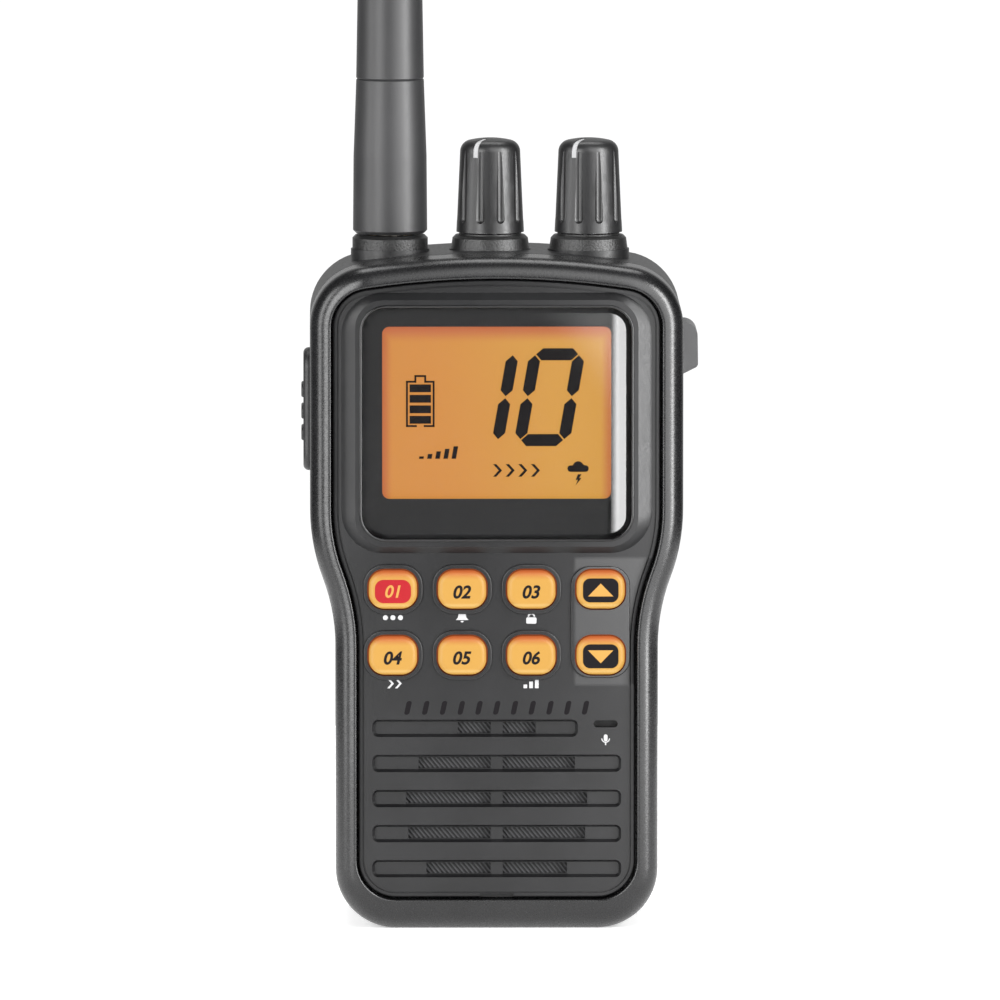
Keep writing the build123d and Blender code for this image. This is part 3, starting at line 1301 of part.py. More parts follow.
def make_battery_screws():
    """Two coin screws that hold the battery pack."""
    head_y = BACK_Y - PACK_SCREW_HEAD_HEIGHT - FACE_GAP
    return Compound(
        children=[
            screw(
                side * PACK_SCREW_X,
                PACK_SCREW_Z,
                head_y,
                BAY_FLOOR_Y - PACK_SCREW_REACH + FACE_GAP,
                PACK_SCREW_RADIUS,
                PACK_SCREW_HEAD,
                PACK_SCREW_HEAD_HEIGHT,
            )
            for side in (-1, 1)
        ]
    )


def make_clip_screws():
    """Two screws that hold the clip's bracket."""
    head_y = BACK_Y + MOUNT_PLATE_THICK
    tip = BACK_Y - PACK_WALL + FACE_GAP
    places = [side * CLIP_SCREW_X for side in (-1, 1)]
    return Compound(children=[screw(x, clip_screw_z(), head_y, tip) for x in places])


# ---------------------------------------------------------------- all nodes


def make_nodes():
    """Every node of the radio by name."""
    nodes = {
        "outer_frame": make_outer_frame(),
        "front_panel": make_front_panel(),
        "rear_case": make_rear_case(),
        "case_gasket": make_case_gasket(),
        "display_window": make_display_window(),
        "window_mask": make_window_mask(),
        "lcd_panel": make_lcd_panel(),
        "lcd_backlight": make_lcd_backlight(),
        "keypad_mat": make_keypad_mat(),
        "speaker_cloth": make_speaker_cloth(),
        "speaker_basket": make_speaker_basket(),
        "speaker_cone": make_speaker_cone(),
        "speaker_magnet": make_speaker_magnet(),
        "microphone": make_microphone(),
        "control_board": make_control_board(),
        "radio_board": make_radio_board(),
        "shield_can": make_shield_can(),
        "chassis": make_chassis(),
        "case_screws": make_case_screws(),
        "board_screws": make_board_screws(),
        "battery_terminals": make_plates(BAY_FLOOR_Y - TERMINAL_THICK, BAY_FLOOR_Y),
        "antenna_collar": make_antenna_collar(),
        "antenna_socket": make_antenna_socket(),
        "antenna_stud": make_antenna_stud(),
        "antenna_boot": make_antenna_boot(),
        "antenna_whip": make_antenna_whip(),
        "antenna_seal": make_antenna_seal(),
        "ptt_pad": make_ptt_pad(),
        "ptt_switch": make_ptt_switch(),
        "accessory_jack": make_accessory_jack(),
        "jack_cover": make_jack_cover(),
        "battery_case": make_battery_case(),
        "battery_back": make_battery_back(),
        "battery_cells": make_battery_cells(),
        "battery_contacts": make_plates(PACK_Y, PACK_Y + TERMINAL_THICK),
        "battery_screws": make_battery_screws(),
        "clip_mount": make_clip_mount(),
        "clip_pin": make_clip_pin(),
        "clip_spring": make_clip_spring(),
        "clip_screws": make_clip_screws(),
        "belt_clip": make_belt_clip(),
        "lanyard_loop": make_lanyard_loop(),
    }
    for control, x in (("volume", VOLUME_X), ("squelch", SQUELCH_X)):
        nodes[control + "_pot"] = make_pot(x)
        nodes[control + "_collar"] = make_control_collar(x)
        nodes[control + "_knob"] = make_knob(x)
        nodes[control + "_shaft"] = make_shaft(x)
        nodes[control + "_pointer"] = make_pointer(x)
    for name, x, z in key_places():
        nodes[name] = make_key(x, z)
    return nodes


os.makedirs("parts", exist_ok=True)
for node, shape in make_nodes().items():
    export_step(shape, f"parts/{node}.step")
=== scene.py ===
import math

import bmesh
import bpy
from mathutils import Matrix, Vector


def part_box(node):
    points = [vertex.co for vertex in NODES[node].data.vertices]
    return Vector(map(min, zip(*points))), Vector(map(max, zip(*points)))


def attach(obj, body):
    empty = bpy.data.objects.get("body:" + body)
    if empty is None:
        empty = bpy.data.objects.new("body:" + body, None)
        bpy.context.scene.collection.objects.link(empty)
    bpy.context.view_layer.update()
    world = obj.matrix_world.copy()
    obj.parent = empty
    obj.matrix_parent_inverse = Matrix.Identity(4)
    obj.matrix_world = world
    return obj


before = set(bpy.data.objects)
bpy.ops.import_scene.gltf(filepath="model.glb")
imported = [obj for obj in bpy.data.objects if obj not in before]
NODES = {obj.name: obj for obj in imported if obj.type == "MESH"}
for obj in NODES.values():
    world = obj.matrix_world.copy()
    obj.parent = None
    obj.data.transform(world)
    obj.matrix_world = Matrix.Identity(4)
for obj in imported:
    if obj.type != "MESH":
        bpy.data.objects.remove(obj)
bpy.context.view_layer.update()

# Looks of a handheld marine radio. Lengths are in millimetres and become metres at the last step,
# apart from those of the lamps and the floor, which are in metres from the start. X runs to the
# right, Y from the front to the back and Z up.

MM = 0.001


def span(node):
    """Lowest and highest corner of a CAD node, in millimetres."""
    low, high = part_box(node)
    return low / MM, high / MM


# ---------------------------------------------------------------- places taken from the frame

PANEL_LOW, _ = span("front_panel")
WINDOW_LOW, WINDOW_HIGH = span("display_window")
LCD_LOW, LCD_HIGH = span("lcd_panel")
MIC_LOW, MIC_HIGH = span("microphone")
SCREEN_Z = (LCD_LOW.z + LCD_HIGH.z) / 2
SCREEN_WIDTH = 38.0
SCREEN_HEIGHT = 28.7

# The panel's face lies behind the front of the display surround. A printed layer is 0.03 thick.
SURROUND_HEIGHT = 0.95
PANEL_Y = PANEL_LOW.y + SURROUND_HEIGHT
PRINT = 0.03

# ---------------------------------------------------------------- material nodes


class Graph:
    """The node tree of a material or a world, built by plain calls."""

    def __init__(self, owner, place="Object"):
        owner.use_nodes = True
        self.owner = owner
        self.tree = owner.node_tree
        self.tree.nodes.clear()
        self.place = self.add("ShaderNodeTexCoord").outputs[place]

    def add(self, kind, **settings):
        node = self.tree.nodes.new(kind)
        for name, value in settings.items():
            setattr(node, name, value)
        return node

    def feed(self, socket, value):
        """Link an output, or set a plain value."""
        if isinstance(value, bpy.types.NodeSocket):
            self.tree.links.new(value, socket)
        elif isinstance(value, (tuple, list)) and len(value) == 3 and socket.type == "RGBA":
            socket.default_value = (*value, 1.0)
        else:
            socket.default_value = value

    def finish(self, shader, kind="ShaderNodeOutputMaterial"):
        """Make the shader the surface, and give back the material or world."""
        self.tree.links.new(shader.outputs[0], self.add(kind).inputs["Surface"])
        return self.owner

    def principled(self, **values):
        node = self.add("ShaderNodeBsdfPrincipled")
        for name, value in values.items():
            self.feed(node.inputs[name.replace("_", " ")], value)
        return node

    def calc(self, operation, *values):
        node = self.add("ShaderNodeMath", operation=operation)
        for socket, value in zip(node.inputs, values):
            self.feed(socket, value)
        return node.outputs[0]

    def plus(self, first, second):
        return self.calc("ADD", first, second)

    def minus(self, first, second):
        return self.calc("SUBTRACT", first, second)

    def times(self, first, second):
        return self.calc("MULTIPLY", first, second)

    def parts(self):
        """The three coordinates as they come."""
        node = self.add("ShaderNodeSeparateXYZ")
        self.feed(node.inputs[0], self.place)
        return node.outputs

    def axes(self):
        """The three coordinates, in millimetres."""
        return [self.times(output, 1 / MM) for output in self.parts()]

    def noise(self, size, detail=2.0, rough=0.5):
        """Noise with features of about that size in millimetres."""
        node = self.add("ShaderNodeTexNoise")
        self.feed(node.inputs["Vector"], self.place)
        node.inputs["Scale"].default_value = 1 / (size * MM)
        node.inputs["Detail"].default_value = detail
        node.inputs["Roughness"].default_value = rough
        return node.outputs["Fac"]

    def spread(self, value, low, high, to_low=0.0, to_high=1.0, smooth=False):
        """Map a value from one range to another, clamped."""
        kind = "SMOOTHSTEP" if smooth else "LINEAR"
        node = self.add("ShaderNodeMapRange", interpolation_type=kind)
        self.feed(node.inputs["Value"], value)
        self.feed(node.inputs["From Min"], low)
        self.feed(node.inputs["From Max"], high)
        self.feed(node.inputs["To Min"], to_low)
        self.feed(node.inputs["To Max"], to_high)
        return node.outputs[0]

    def ease(self, value, low, high, to_low=0.0, to_high=1.0):
        """The same with soft ends."""
        return self.spread(value, low, high, to_low, to_high, smooth=True)

    def mix(self, share, first, second):
        """Blend two colours."""
        node = self.add("ShaderNodeMix", data_type="RGBA")
        colours = [socket for socket in node.inputs if socket.type == "RGBA"]
        self.feed(node.inputs[0], share)
        self.feed(colours[0], first)
        self.feed(colours[1], second)
        return [output for output in node.outputs if output.type == "RGBA"][0]

    def tilted(self, across, up):
        """The surface's normal, tilted by two slopes in X and Z."""
        lean = self.add("ShaderNodeCombineXYZ")
        self.feed(lean.inputs[0], across)
        self.feed(lean.inputs[2], up)
        total = self.add("ShaderNodeVectorMath", operation="ADD")
        self.feed(total.inputs[0], self.add("ShaderNodeNewGeometry").outputs["Normal"])
        self.feed(total.inputs[1], lean.outputs[0])
        unit = self.add("ShaderNodeVectorMath", operation="NORMALIZE")
        self.feed(unit.inputs[0], total.outputs[0])
        return unit.outputs[0]

    def bump(self, height, depth, normal=None):
        """Relief of that depth in millimetres."""
        node = self.add("ShaderNodeBump")
        node.inputs["Distance"].default_value = depth * MM
        self.feed(node.inputs["Height"], height)
        if normal is not None:
            self.feed(node.inputs["Normal"], normal)
        return node.outputs[0]


def new_paint(name, place="Object"):
    return Graph(bpy.data.materials.new(name), place)


# ---------------------------------------------------------------- plastic, rubber and metal

BLACK = (0.0065, 0.0065, 0.0071)
MOTTLE_SIZE = 9.0
MOTTLE_RANGE = (0.35, 0.65)
GRAIN_RANGE = (0.3, 0.7)
UNEVEN_GLOSS = 0.05
SCRATCH_SIZE = 0.25
SCRATCH_DEPTH = 0.004


def moulded(name, colour, roughness, grain, depth, relief=None, mottle=0.25, index=1.55):
    """Moulded plastic or rubber: grain of a size and depth, faint mottling and uneven gloss."""
    graph = new_paint(name)
    fine = graph.noise(grain, 3.0, 0.6)
    broad = graph.noise(MOTTLE_SIZE)
    darker = tuple(c * (1 - mottle) for c in colour)
    lighter = tuple(c * (1 + mottle) for c in colour)
    tone = graph.mix(graph.spread(broad, *MOTTLE_RANGE), darker, lighter)
    glossiest, dullest = roughness - UNEVEN_GLOSS, roughness + UNEVEN_GLOSS
    gloss = graph.spread(fine, *GRAIN_RANGE, glossiest, dullest)
    normal = graph.bump(fine, depth, normal=None if relief is None else relief(graph))
    return graph.finish(
        graph.principled(Base_Color=tone, Roughness=gloss, IOR=index, Normal=normal)
    )


def metal(name, colour, roughness):
    """Plain machined or plated metal with fine scratches."""
    graph = new_paint(name)
    fine = graph.noise(SCRATCH_SIZE, 4.0, 0.7)
    gloss = graph.spread(fine, *GRAIN_RANGE, roughness - 0.08, roughness + 0.1)
    normal = graph.bump(fine, SCRATCH_DEPTH)
    return graph.finish(
        graph.principled(Base_Color=colour, Metallic=1.0, Roughness=gloss, Normal=normal)
    )


# Slopes that the bumper's front leans outwards by: at the left and the foot, then at the right
# and the top. Each starts at a distance from the middle and is full 4 mm further out.
PILLOW_NEAR = 0.22
PILLOW_FAR = 0.10
PILLOW_WIDTH = 4.0
PILLOW_START_X = 20.0
BODY_MIDDLE = 56.0
PILLOW_START_UP = BODY_MIDDLE - 9.0


def bumper_relief(graph):
    """Pillowed front of the bumper, which leans outwards all round."""
    x, _, z = graph.axes()
    up = graph.minus(z, BODY_MIDDLE)
    leans = []
    for place, start in ((x, PILLOW_START_X), (up, PILLOW_START_UP)):
        near = graph.ease(place, -start - PILLOW_WIDTH, -start, -PILLOW_NEAR, 0.0)
        far = graph.ease(place, start, start + PILLOW_WIDTH, 0.0, PILLOW_FAR)
        leans.append(graph.plus(near, far))
    return graph.tilted(*leans)


# The panel's crown is a slope that grows with every millimetre from the middle. The arrow pad
# leans to the right on top of it, between its left edge, its foot and its top.
CROWN = 0.15 / 24.0
PAD_LEAN = 0.20
PAD_LEFT = (12.7, 13.3)
PAD_FOOT = (40.4, 41.0)
PAD_TOP = (61.6, 62.2)


def panel_relief(graph):
    """Crown across the panel and the arrow pad."""
    x, _, z = graph.axes()
    right = graph.spread(x, *PAD_LEFT, 0.0, PAD_LEAN)
    pad = graph.times(right, graph.spread(z, *PAD_TOP, 1.0, 0.0))
    pad = graph.times(pad, graph.spread(z, *PAD_FOOT))
    return graph.tilted(graph.plus(graph.times(x, CROWN), pad), 0.0)


# ---------------------------------------------------------------- window, screen, keys and cloth

# The window leans away from the dome's centre with every millimetre, and more in the rolled right
# edge, whose range is in shares of the window's half width.
DOME_CENTRE = (-14.0, 64.0)
DOME = 0.0040
EDGE_RANGE = (0.84, 0.92)
EDGE_LEAN = 0.36
GLASS_ROUGHNESS = 0.07
GLASS_INDEX = 1.58
GLASS_TINT = (0.97, 0.97, 0.97)
FLAT_MIRROR = 0.5
EDGE_MIRROR = 6.2


def make_window_glass():
    """Clear domed window that only mirrors, most at its edge, so that the screen shows through."""
    graph = new_paint("window_glass")
    x, _, z = graph.axes()
    half = (WINDOW_HIGH.x - WINDOW_LOW.x) / 2
    edge = graph.ease(x, half * EDGE_RANGE[0], half * EDGE_RANGE[1])
    across = graph.times(graph.minus(x, DOME_CENTRE[0]), DOME)
    across = graph.plus(across, graph.times(edge, EDGE_LEAN))
    up = graph.times(graph.minus(z, DOME_CENTRE[1]), DOME)
    normal = graph.tilted(across, up)
    gloss = graph.add("ShaderNodeBsdfGlossy")
    graph.feed(gloss.inputs["Roughness"], GLASS_ROUGHNESS)
    graph.feed(gloss.inputs["Normal"], normal)
    clear = graph.add("ShaderNodeBsdfTransparent")
    graph.feed(clear.inputs["Color"], GLASS_TINT)
    mirror = graph.add("ShaderNodeFresnel")
    graph.feed(mirror.inputs["IOR"], GLASS_INDEX)
    graph.feed(mirror.inputs["Normal"], normal)
    share = graph.times(mirror.outputs[0], graph.spread(edge, 0.0, 1.0, FLAT_MIRROR, EDGE_MIRROR))
    both = graph.add("ShaderNodeMixShader")
    graph.feed(both.inputs[0], share)
    graph.feed(both.inputs[1], clear.outputs[0])
    graph.feed(both.inputs[2], gloss.outputs[0])
    return graph.finish(both)


SCREEN_BASE = (0.05, 0.022, 0.004)
SCREEN_LEFT = (0.68, 0.262, 0.040)
SCREEN_RIGHT = (0.70, 0.340, 0.046)
# The red below is painted shade, for the screen's edges under the mask.
SCREEN_RED_SHADE = (0.54, 0.115, 0.043)
SCREEN_GLOW = 0.93

# How far from the screen's edge the painted shade, a red tint where the mask would shade the
# screen, starts to fade and is gone, and its share at most.
RED_SHADE_TOP = (0.3, 3.0, 0.9)
RED_SHADE_SIDE = (0.1, 1.9, 0.75)

# How much yellower a millimetre to the right and one up is, over a range about the middle.
WARM_SLOPE = (0.03, 0.004)
WARM_RANGE = (-0.4, 0.4)


def make_screen_glow():
    """Amber backlit screen, yellower to the right, with painted shade in red where it runs under
    the mask.
    """
    graph = new_paint("lcd_glow")
    x, _, z = graph.axes()
    up = graph.minus(z, SCREEN_Z)
    to_top = graph.minus(SCREEN_HEIGHT / 2, up)
    to_side = graph.minus(SCREEN_WIDTH / 2, graph.calc("ABSOLUTE", x))
    # Painted shade: the red share grows towards the screen's top and sides, under the mask.
    red = graph.calc(
        "MAXIMUM", graph.ease(to_top, *RED_SHADE_TOP, 0.0), graph.ease(to_side, *RED_SHADE_SIDE, 0.0)
    )
    slant = graph.plus(graph.times(x, WARM_SLOPE[0]), graph.times(up, WARM_SLOPE[1]))
    warm = graph.mix(graph.ease(slant, *WARM_RANGE), SCREEN_LEFT, SCREEN_RIGHT)
    tone = graph.mix(red, warm, SCREEN_RED_SHADE)
    shader = graph.principled(
        Base_Color=SCREEN_BASE, Roughness=0.5, Emission_Color=tone, Emission_Strength=SCREEN_GLOW
    )
    return graph.finish(shader)


# Of these colours, the second is painted shade at a key's top and sides, the third a painted
# highlight at its foot and the fourth painted shade deeper in the key.
KEY_FACE = (0.80, 0.43, 0.078)
KEY_SHADED = (0.66, 0.135, 0.035)
KEY_FOOT_HIGHLIGHT = (0.93, 0.62, 0.20)
KEY_DEEP_SHADE = (0.42, 0.085, 0.022)
KEY_BASE = (0.03, 0.012, 0.002)
KEY_BASE_SHARE = 0.78
KEY_GLOW = 0.53

# Ranges of a key's height, of the distance from its middle and of its depth, as shares of its
# box, and how much of the tone the sides and the foot take. They place painted shade at the
# top, the sides and deeper in the key, and a painted highlight at the foot.
KEY_TOP_SHADE_RANGE = (0.68, 0.90)
KEY_SIDE_SHADE_RANGE = (0.35, 0.44)
KEY_SIDE_SHADE_UP = (0.35, 0.80)
KEY_SIDE_SHADE_SHARE = 0.55
KEY_FOOT_HIGHLIGHT_START = (0.13, 0.18)
KEY_FOOT_HIGHLIGHT_END = (0.18, 0.24)
KEY_FOOT_HIGHLIGHT_SHARE = 0.7
KEY_DEEP_SHADE_RANGE = (0.10, 0.42)


def make_key_amber():
    """Translucent keys lit from behind, with painted shade in red at the top and sides and deeper
    in, and a painted highlight at the foot.
    """
    graph = new_paint("key_amber", place="Generated")
    across, through, up = graph.parts()
    # Painted shade: redder towards the top and the sides of each key.
    to_middle = graph.calc("ABSOLUTE", graph.minus(across, 0.5))
    sides = graph.ease(to_middle, *KEY_SIDE_SHADE_RANGE, 0.0, KEY_SIDE_SHADE_SHARE)
    shaded = graph.times(sides, graph.ease(up, *KEY_SIDE_SHADE_UP))
    shaded = graph.calc("MAXIMUM", graph.ease(up, *KEY_TOP_SHADE_RANGE), shaded)
    face = graph.mix(shaded, KEY_FACE, KEY_SHADED)
    # Painted highlight: a bright band at the key's foot.
    foot = graph.ease(up, *KEY_FOOT_HIGHLIGHT_START)
    foot = graph.times(foot, graph.ease(up, *KEY_FOOT_HIGHLIGHT_END, 1.0, 0.0))
    face = graph.mix(graph.times(foot, KEY_FOOT_HIGHLIGHT_SHARE), face, KEY_FOOT_HIGHLIGHT)
    # Painted shade: darker and redder deeper in the key.
    tone = graph.mix(graph.ease(through, *KEY_DEEP_SHADE_RANGE), face, KEY_DEEP_SHADE)
    shader = graph.principled(
        Base_Color=graph.mix(KEY_BASE_SHARE, tone, KEY_BASE),
        Roughness=0.42,
        IOR=1.4,
        Emission_Color=tone,
        Emission_Strength=KEY_GLOW,
        Normal=graph.bump(graph.noise(0.05), 0.01),
    )
    return graph.finish(shader)


AMBER_BASE = (0.20, 0.10, 0.02)
AMBER_TONES = (0.74, 0.37, 0.065), (0.82, 0.44, 0.08)
AMBER_GLOW = 0.7


def make_amber_print():
    """Amber print that lets the light through."""
    graph = new_paint("amber_print")
    tone = graph.mix(graph.noise(2.0), *AMBER_TONES)
    shader = graph.principled(
        Base_Color=AMBER_BASE, Roughness=0.42, Emission_Color=tone, Emission_Strength=AMBER_GLOW
    )
    return graph.finish(shader)


TWILL_SLOPE = 0.8
TWILL_PITCH = 0.78
TWILL_RANGE = (-0.3, 0.9)
CLOTH_TONES = (0.003, 0.003, 0.0034), (0.050, 0.050, 0.053)


def make_cloth():
    """Dark twill grille cloth."""
    graph = new_paint("grille_cloth")
    x, _, z = graph.axes()
    slant = graph.plus(x, graph.times(z, TWILL_SLOPE))
    weave = graph.calc("SINE", graph.times(slant, 2 * math.pi / TWILL_PITCH))
    tone = graph.mix(graph.spread(weave, *TWILL_RANGE), *CLOTH_TONES)
    return graph.finish(
        graph.principled(Base_Color=tone, Roughness=0.75, Normal=graph.bump(weave, 0.05))
    )


# ---------------------------------------------------------------- every material and its nodes


def make_paints():
    """Every material. After the colour come roughness, size of grain and depth of grain."""
    return {
        "frame": moulded("frame_plastic", BLACK, 0.27, 0.4, 0.008, relief=bumper_relief),
        "panel": moulded(
            "panel_plastic", BLACK, 0.36, 0.4, 0.010, relief=panel_relief, index=1.5
        ),
        "case": moulded("case_plastic", BLACK, 0.43, 0.6, 0.02),
        "pack": moulded("pack_plastic", (0.008, 0.008, 0.0086), 0.46, 0.6, 0.025),
        "knob": moulded("knob_plastic", (0.0095, 0.0095, 0.010), 0.36, 0.3, 0.012),
        "clip": moulded("clip_plastic", (0.009, 0.009, 0.0095), 0.38, 0.4, 0.012),
        "antenna": moulded(
            "antenna_rubber", (0.024, 0.024, 0.025), 0.44, 0.25, 0.008, mottle=0.10
        ),
        "collar": moulded("collar_rubber", (0.008, 0.008, 0.008), 0.36, 0.32, 0.09),
        "soft": moulded("soft_rubber", (0.008, 0.008, 0.0085), 0.46, 0.35, 0.015),
        "cover": moulded("cover_rubber", (0.10, 0.10, 0.102), 0.55, 0.3, 0.010, mottle=0.06),
        "bead": moulded("bead_gloss", (0.004, 0.004, 0.0045), 0.2, 0.3, 0.002),
        "mask": moulded("mask_print", (0.003, 0.003, 0.0035), 0.35, 0.5, 0.001),
        "board": moulded("board_green", (0.01, 0.07, 0.03), 0.4, 0.8, 0.02),
        "plain": moulded("plain_black", (0.02, 0.02, 0.02), 0.5, 0.5, 0.01),
        "grey": moulded("plain_grey", (0.25, 0.25, 0.25), 0.6, 0.5, 0.01),
        "wrap": moulded("cell_wrap", (0.05, 0.12, 0.3), 0.4, 0.8, 0.01),
        "white": moulded(
            "white_print", (0.46, 0.46, 0.465), 0.5, 0.2, 0.002, mottle=0.03, index=1.3
        ),
        "ink": moulded(
            "black_ink", (0.006, 0.005, 0.006), 0.6, 0.2, 0.001, mottle=0.03, index=1.2
        ),
        "red": moulded(
            "red_print", (0.31, 0.008, 0.013), 0.55, 0.2, 0.002, mottle=0.05, index=1.3
        ),
        "steel": metal("steel", (0.62, 0.62, 0.63), 0.32),
        "alloy": metal("cast_alloy", (0.6, 0.6, 0.6), 0.45),
        "brass": metal("brass", (0.78, 0.58, 0.28), 0.3),
        "stud": metal("stud_nickel", (0.20, 0.19, 0.18), 0.42),
        "gold": metal("gold_contact", (0.9, 0.66, 0.3), 0.22),
        "glass": make_window_glass(),
        "lcd": make_screen_glow(),
        "key": make_key_amber(),
        "amber": make_amber_print(),
        "cloth": make_cloth(),
    }


PAINT = make_paints()
WEARS = {
    "frame": ["outer_frame"],
    "panel": ["front_panel"],
    "case": ["rear_case", "lanyard_loop"],
    "pack": ["battery_case", "battery_back"],
    "knob": ["volume_knob", "squelch_knob"],
    "clip": ["belt_clip", "clip_mount"],
    "antenna": ["antenna_boot", "antenna_whip"],
    "collar": ["antenna_collar", "volume_collar", "squelch_collar"],
    "soft": ["ptt_pad", "case_gasket", "antenna_seal", "keypad_mat"],
    "cover": ["jack_cover"],
    "mask": ["window_mask"],
    "board": ["control_board", "radio_board"],
    "plain": [
        "microphone",
        "speaker_cone",
        "ptt_switch",
        "accessory_jack",
        "volume_pot",
        "squelch_pot",
    ],
    "grey": ["speaker_magnet", "lcd_backlight"],
    "wrap": ["battery_cells"],
    "white": ["volume_pointer", "squelch_pointer"],
    "steel": [
        "speaker_basket",
        "shield_can",
        "case_screws",
        "board_screws",
        "battery_screws",
        "clip_screws",
        "clip_pin",
        "clip_spring",
        "volume_shaft",
        "squelch_shaft",
    ],
    "alloy": ["chassis"],
    "brass": ["antenna_socket"],
    "stud": ["antenna_stud"],
    "gold": ["battery_terminals", "battery_contacts"],
    "glass": ["display_window"],
    "lcd": ["lcd_panel"],
    "key": [node for node in NODES if node.startswith("key_")],
    "cloth": ["speaker_cloth"],
}


def dress_nodes():
    """Give every CAD node its material."""
    for paint, nodes in WEARS.items():
        for node in nodes:
            data = NODES[node].data
            data.materials.clear()
            data.materials.append(PAINT[paint])


dress_nodes()

# ---------------------------------------------------------------- outlines, in X and Z


def arc(centre, radius, start, end, steps=8):
    """Points along an arc, in degrees anticlockwise."""
    x, z = centre
    turns = [math.radians(start + (end - start) * step / steps) for step in range(steps + 1)]
    return [(x + radius * math.cos(turn), z + radius * math.sin(turn)) for turn in turns]


def circle(centre, radius, sides):
    return arc(centre, radius, 0, 360 - 360 / sides, sides - 1)


def ring(x, z, outer, inner, start, end):
    """Part of a flat ring."""
    return arc((x, z), outer, start, end, 10) + arc((x, z), inner, end, start, 10)


def box_points(x0, z0, x1, z1):
    return [(x0, z0), (x1, z0), (x1, z1), (x0, z1)]


def round_box(x, z, width, height, radius):
    """A rounded rectangle about a centre."""
    dx, dz = width / 2 - radius, height / 2 - radius
    corners = [(x + dx, z + dz), (x - dx, z + dz), (x - dx, z - dz), (x + dx, z - dz)]
    points = []
    for quarter, corner in enumerate(corners):
        points += arc(corner, radius, 90 * quarter, 90 * quarter + 90)
    return points


def chevron(left, middle, reach, half, thick):
    """An arrowhead that points to the right."""
    return [
        (left, middle - half),
        (left + thick, middle - half),
        (left + reach, middle),
        (left + thick, middle + half),
        (left, middle + half),
        (left + reach - thick, middle),
    ]


def leaned(points, foot, lean):
    """Points slanted to the right above a foot line."""
    return [(x + (z - foot) * lean, z) for x, z in points]


# ---------------------------------------------------------------- pieces from outlines


def add_piece(name, data, body, paint):
    """Put a mesh in the scene as a piece that rides on a body."""
    data.materials.clear()
    data.materials.append(PAINT[paint])
    piece = bpy.data.objects.new(name, data)
    bpy.context.scene.collection.objects.link(piece)
    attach(piece, body)


def add_mesh(name, mesh, body, paint, smooth=False):
    """The same for a mesh under edit, with its faces turned outwards."""
    bmesh.ops.recalc_face_normals(mesh, faces=mesh.faces)
    data = bpy.data.meshes.new(name)
    mesh.to_mesh(data)
    mesh.free()
    for polygon in data.polygons:
        polygon.use_smooth = smooth
    add_piece(name, data, body, paint)


def bridge(mesh, rows):
    """Faces between each ring of points and the next."""
    for first, second in zip(rows, rows[1:]):
        for place in range(len(first)):
            after = (place + 1) % len(first)
            mesh.faces.new([first[place], first[after], second[after], second[place]])


def plates(name, outlines, front, back, body, paint):
    """Thin plates of one piece between two depths, one for each outline."""
    mesh = bmesh.new()
    for outline in outlines:
        near = [mesh.verts.new((x * MM, front * MM, z * MM)) for x, z in outline]
        far = [mesh.verts.new((x * MM, back * MM, z * MM)) for x, z in outline]
        mesh.faces.new(near)
        mesh.faces.new(list(reversed(far)))
        bridge(mesh, [far, near])
    add_mesh(name, mesh, body, paint)


PRINT_LEAN = 0.22
TEXT_DEPTH = 0.01


def number_text(name, words, centre, height, front, body, paint, bold):
    """A plain number in the built-in face, slanted and thickened, as a thin plate."""
    curve = bpy.data.curves.new(name + "_curve", "FONT")
    curve.body = words
    curve.shear = PRINT_LEAN
    curve.offset = bold
    curve.extrude = TEXT_DEPTH
    curve.resolution_u = 6
    holder = bpy.data.objects.new(name + "_curve", curve)
    bpy.context.scene.collection.objects.link(holder)
    bpy.context.view_layer.update()
    data = bpy.data.meshes.new_from_object(holder)
    bpy.data.objects.remove(holder)
    low = [min(v.co[axis] for v in data.vertices) for axis in range(2)]
    high = [max(v.co[axis] for v in data.vertices) for axis in range(2)]
    scale = height / (high[1] - low[1])
    for vertex in data.vertices:
        x, z, depth = vertex.co
        vertex.co = (
            (centre[0] + (x - (low[0] + high[0]) / 2) * scale) * MM,
            (front + (0.0 if depth > 0 else PRINT)) * MM,
            (centre[1] + (z - (low[1] + high[1]) / 2) * scale) * MM,
        )
    data.name = name
    add_piece(name, data, body, paint)


# ---------------------------------------------------------------- screen

SEGMENT_WIDTH = 2.0
SEGMENT_GAP = 0.16
DIGIT_X = 3.9
DIGIT_SPACE = 3.7
DIGIT_WIDTH = 7.3
DIGIT_HEIGHT = 14.3
DIGIT_FOOT = 81.4
DIGIT_LEAN = 0.175
INK_LINE = 0.32
INK_THICKNESS = 0.02
INK_LIFT = 0.25
ARROWHEAD_PLACES = (-0.6, 1.5, 3.6, 5.7)
ARROWHEAD_Z = 76.35


def segment(start, end):
    """One pointed bar of a number between two corners."""
    first, last = Vector(start), Vector(end)
    along = (last - first).normalized()
    side = Vector((-along.y, along.x)) * SEGMENT_WIDTH / 2
    first, last = first + along * SEGMENT_GAP, last - along * SEGMENT_GAP
    inner = along * SEGMENT_WIDTH / 2
    lower = [first, first + inner - side, last - inner - side]
    upper = [last, last - inner + side, first + inner + side]
    return [(point.x, point.y) for point in lower + upper]


def seven_segment(x, bars):
    """A slanted number built from the named bars a to f."""
    right = x + DIGIT_WIDTH
    foot, middle, top = DIGIT_FOOT, DIGIT_FOOT + DIGIT_HEIGHT / 2, DIGIT_FOOT + DIGIT_HEIGHT
    ends = {
        "a": ((x, top), (right, top)),
        "b": ((right, top), (right, middle)),
        "c": ((right, middle), (right, foot)),
        "d": ((x, foot), (right, foot)),
        "e": ((x, middle), (x, foot)),
        "f": ((x, top), (x, middle)),
    }
    return [leaned(segment(*ends[bar]), foot, DIGIT_LEAN) for bar in bars]


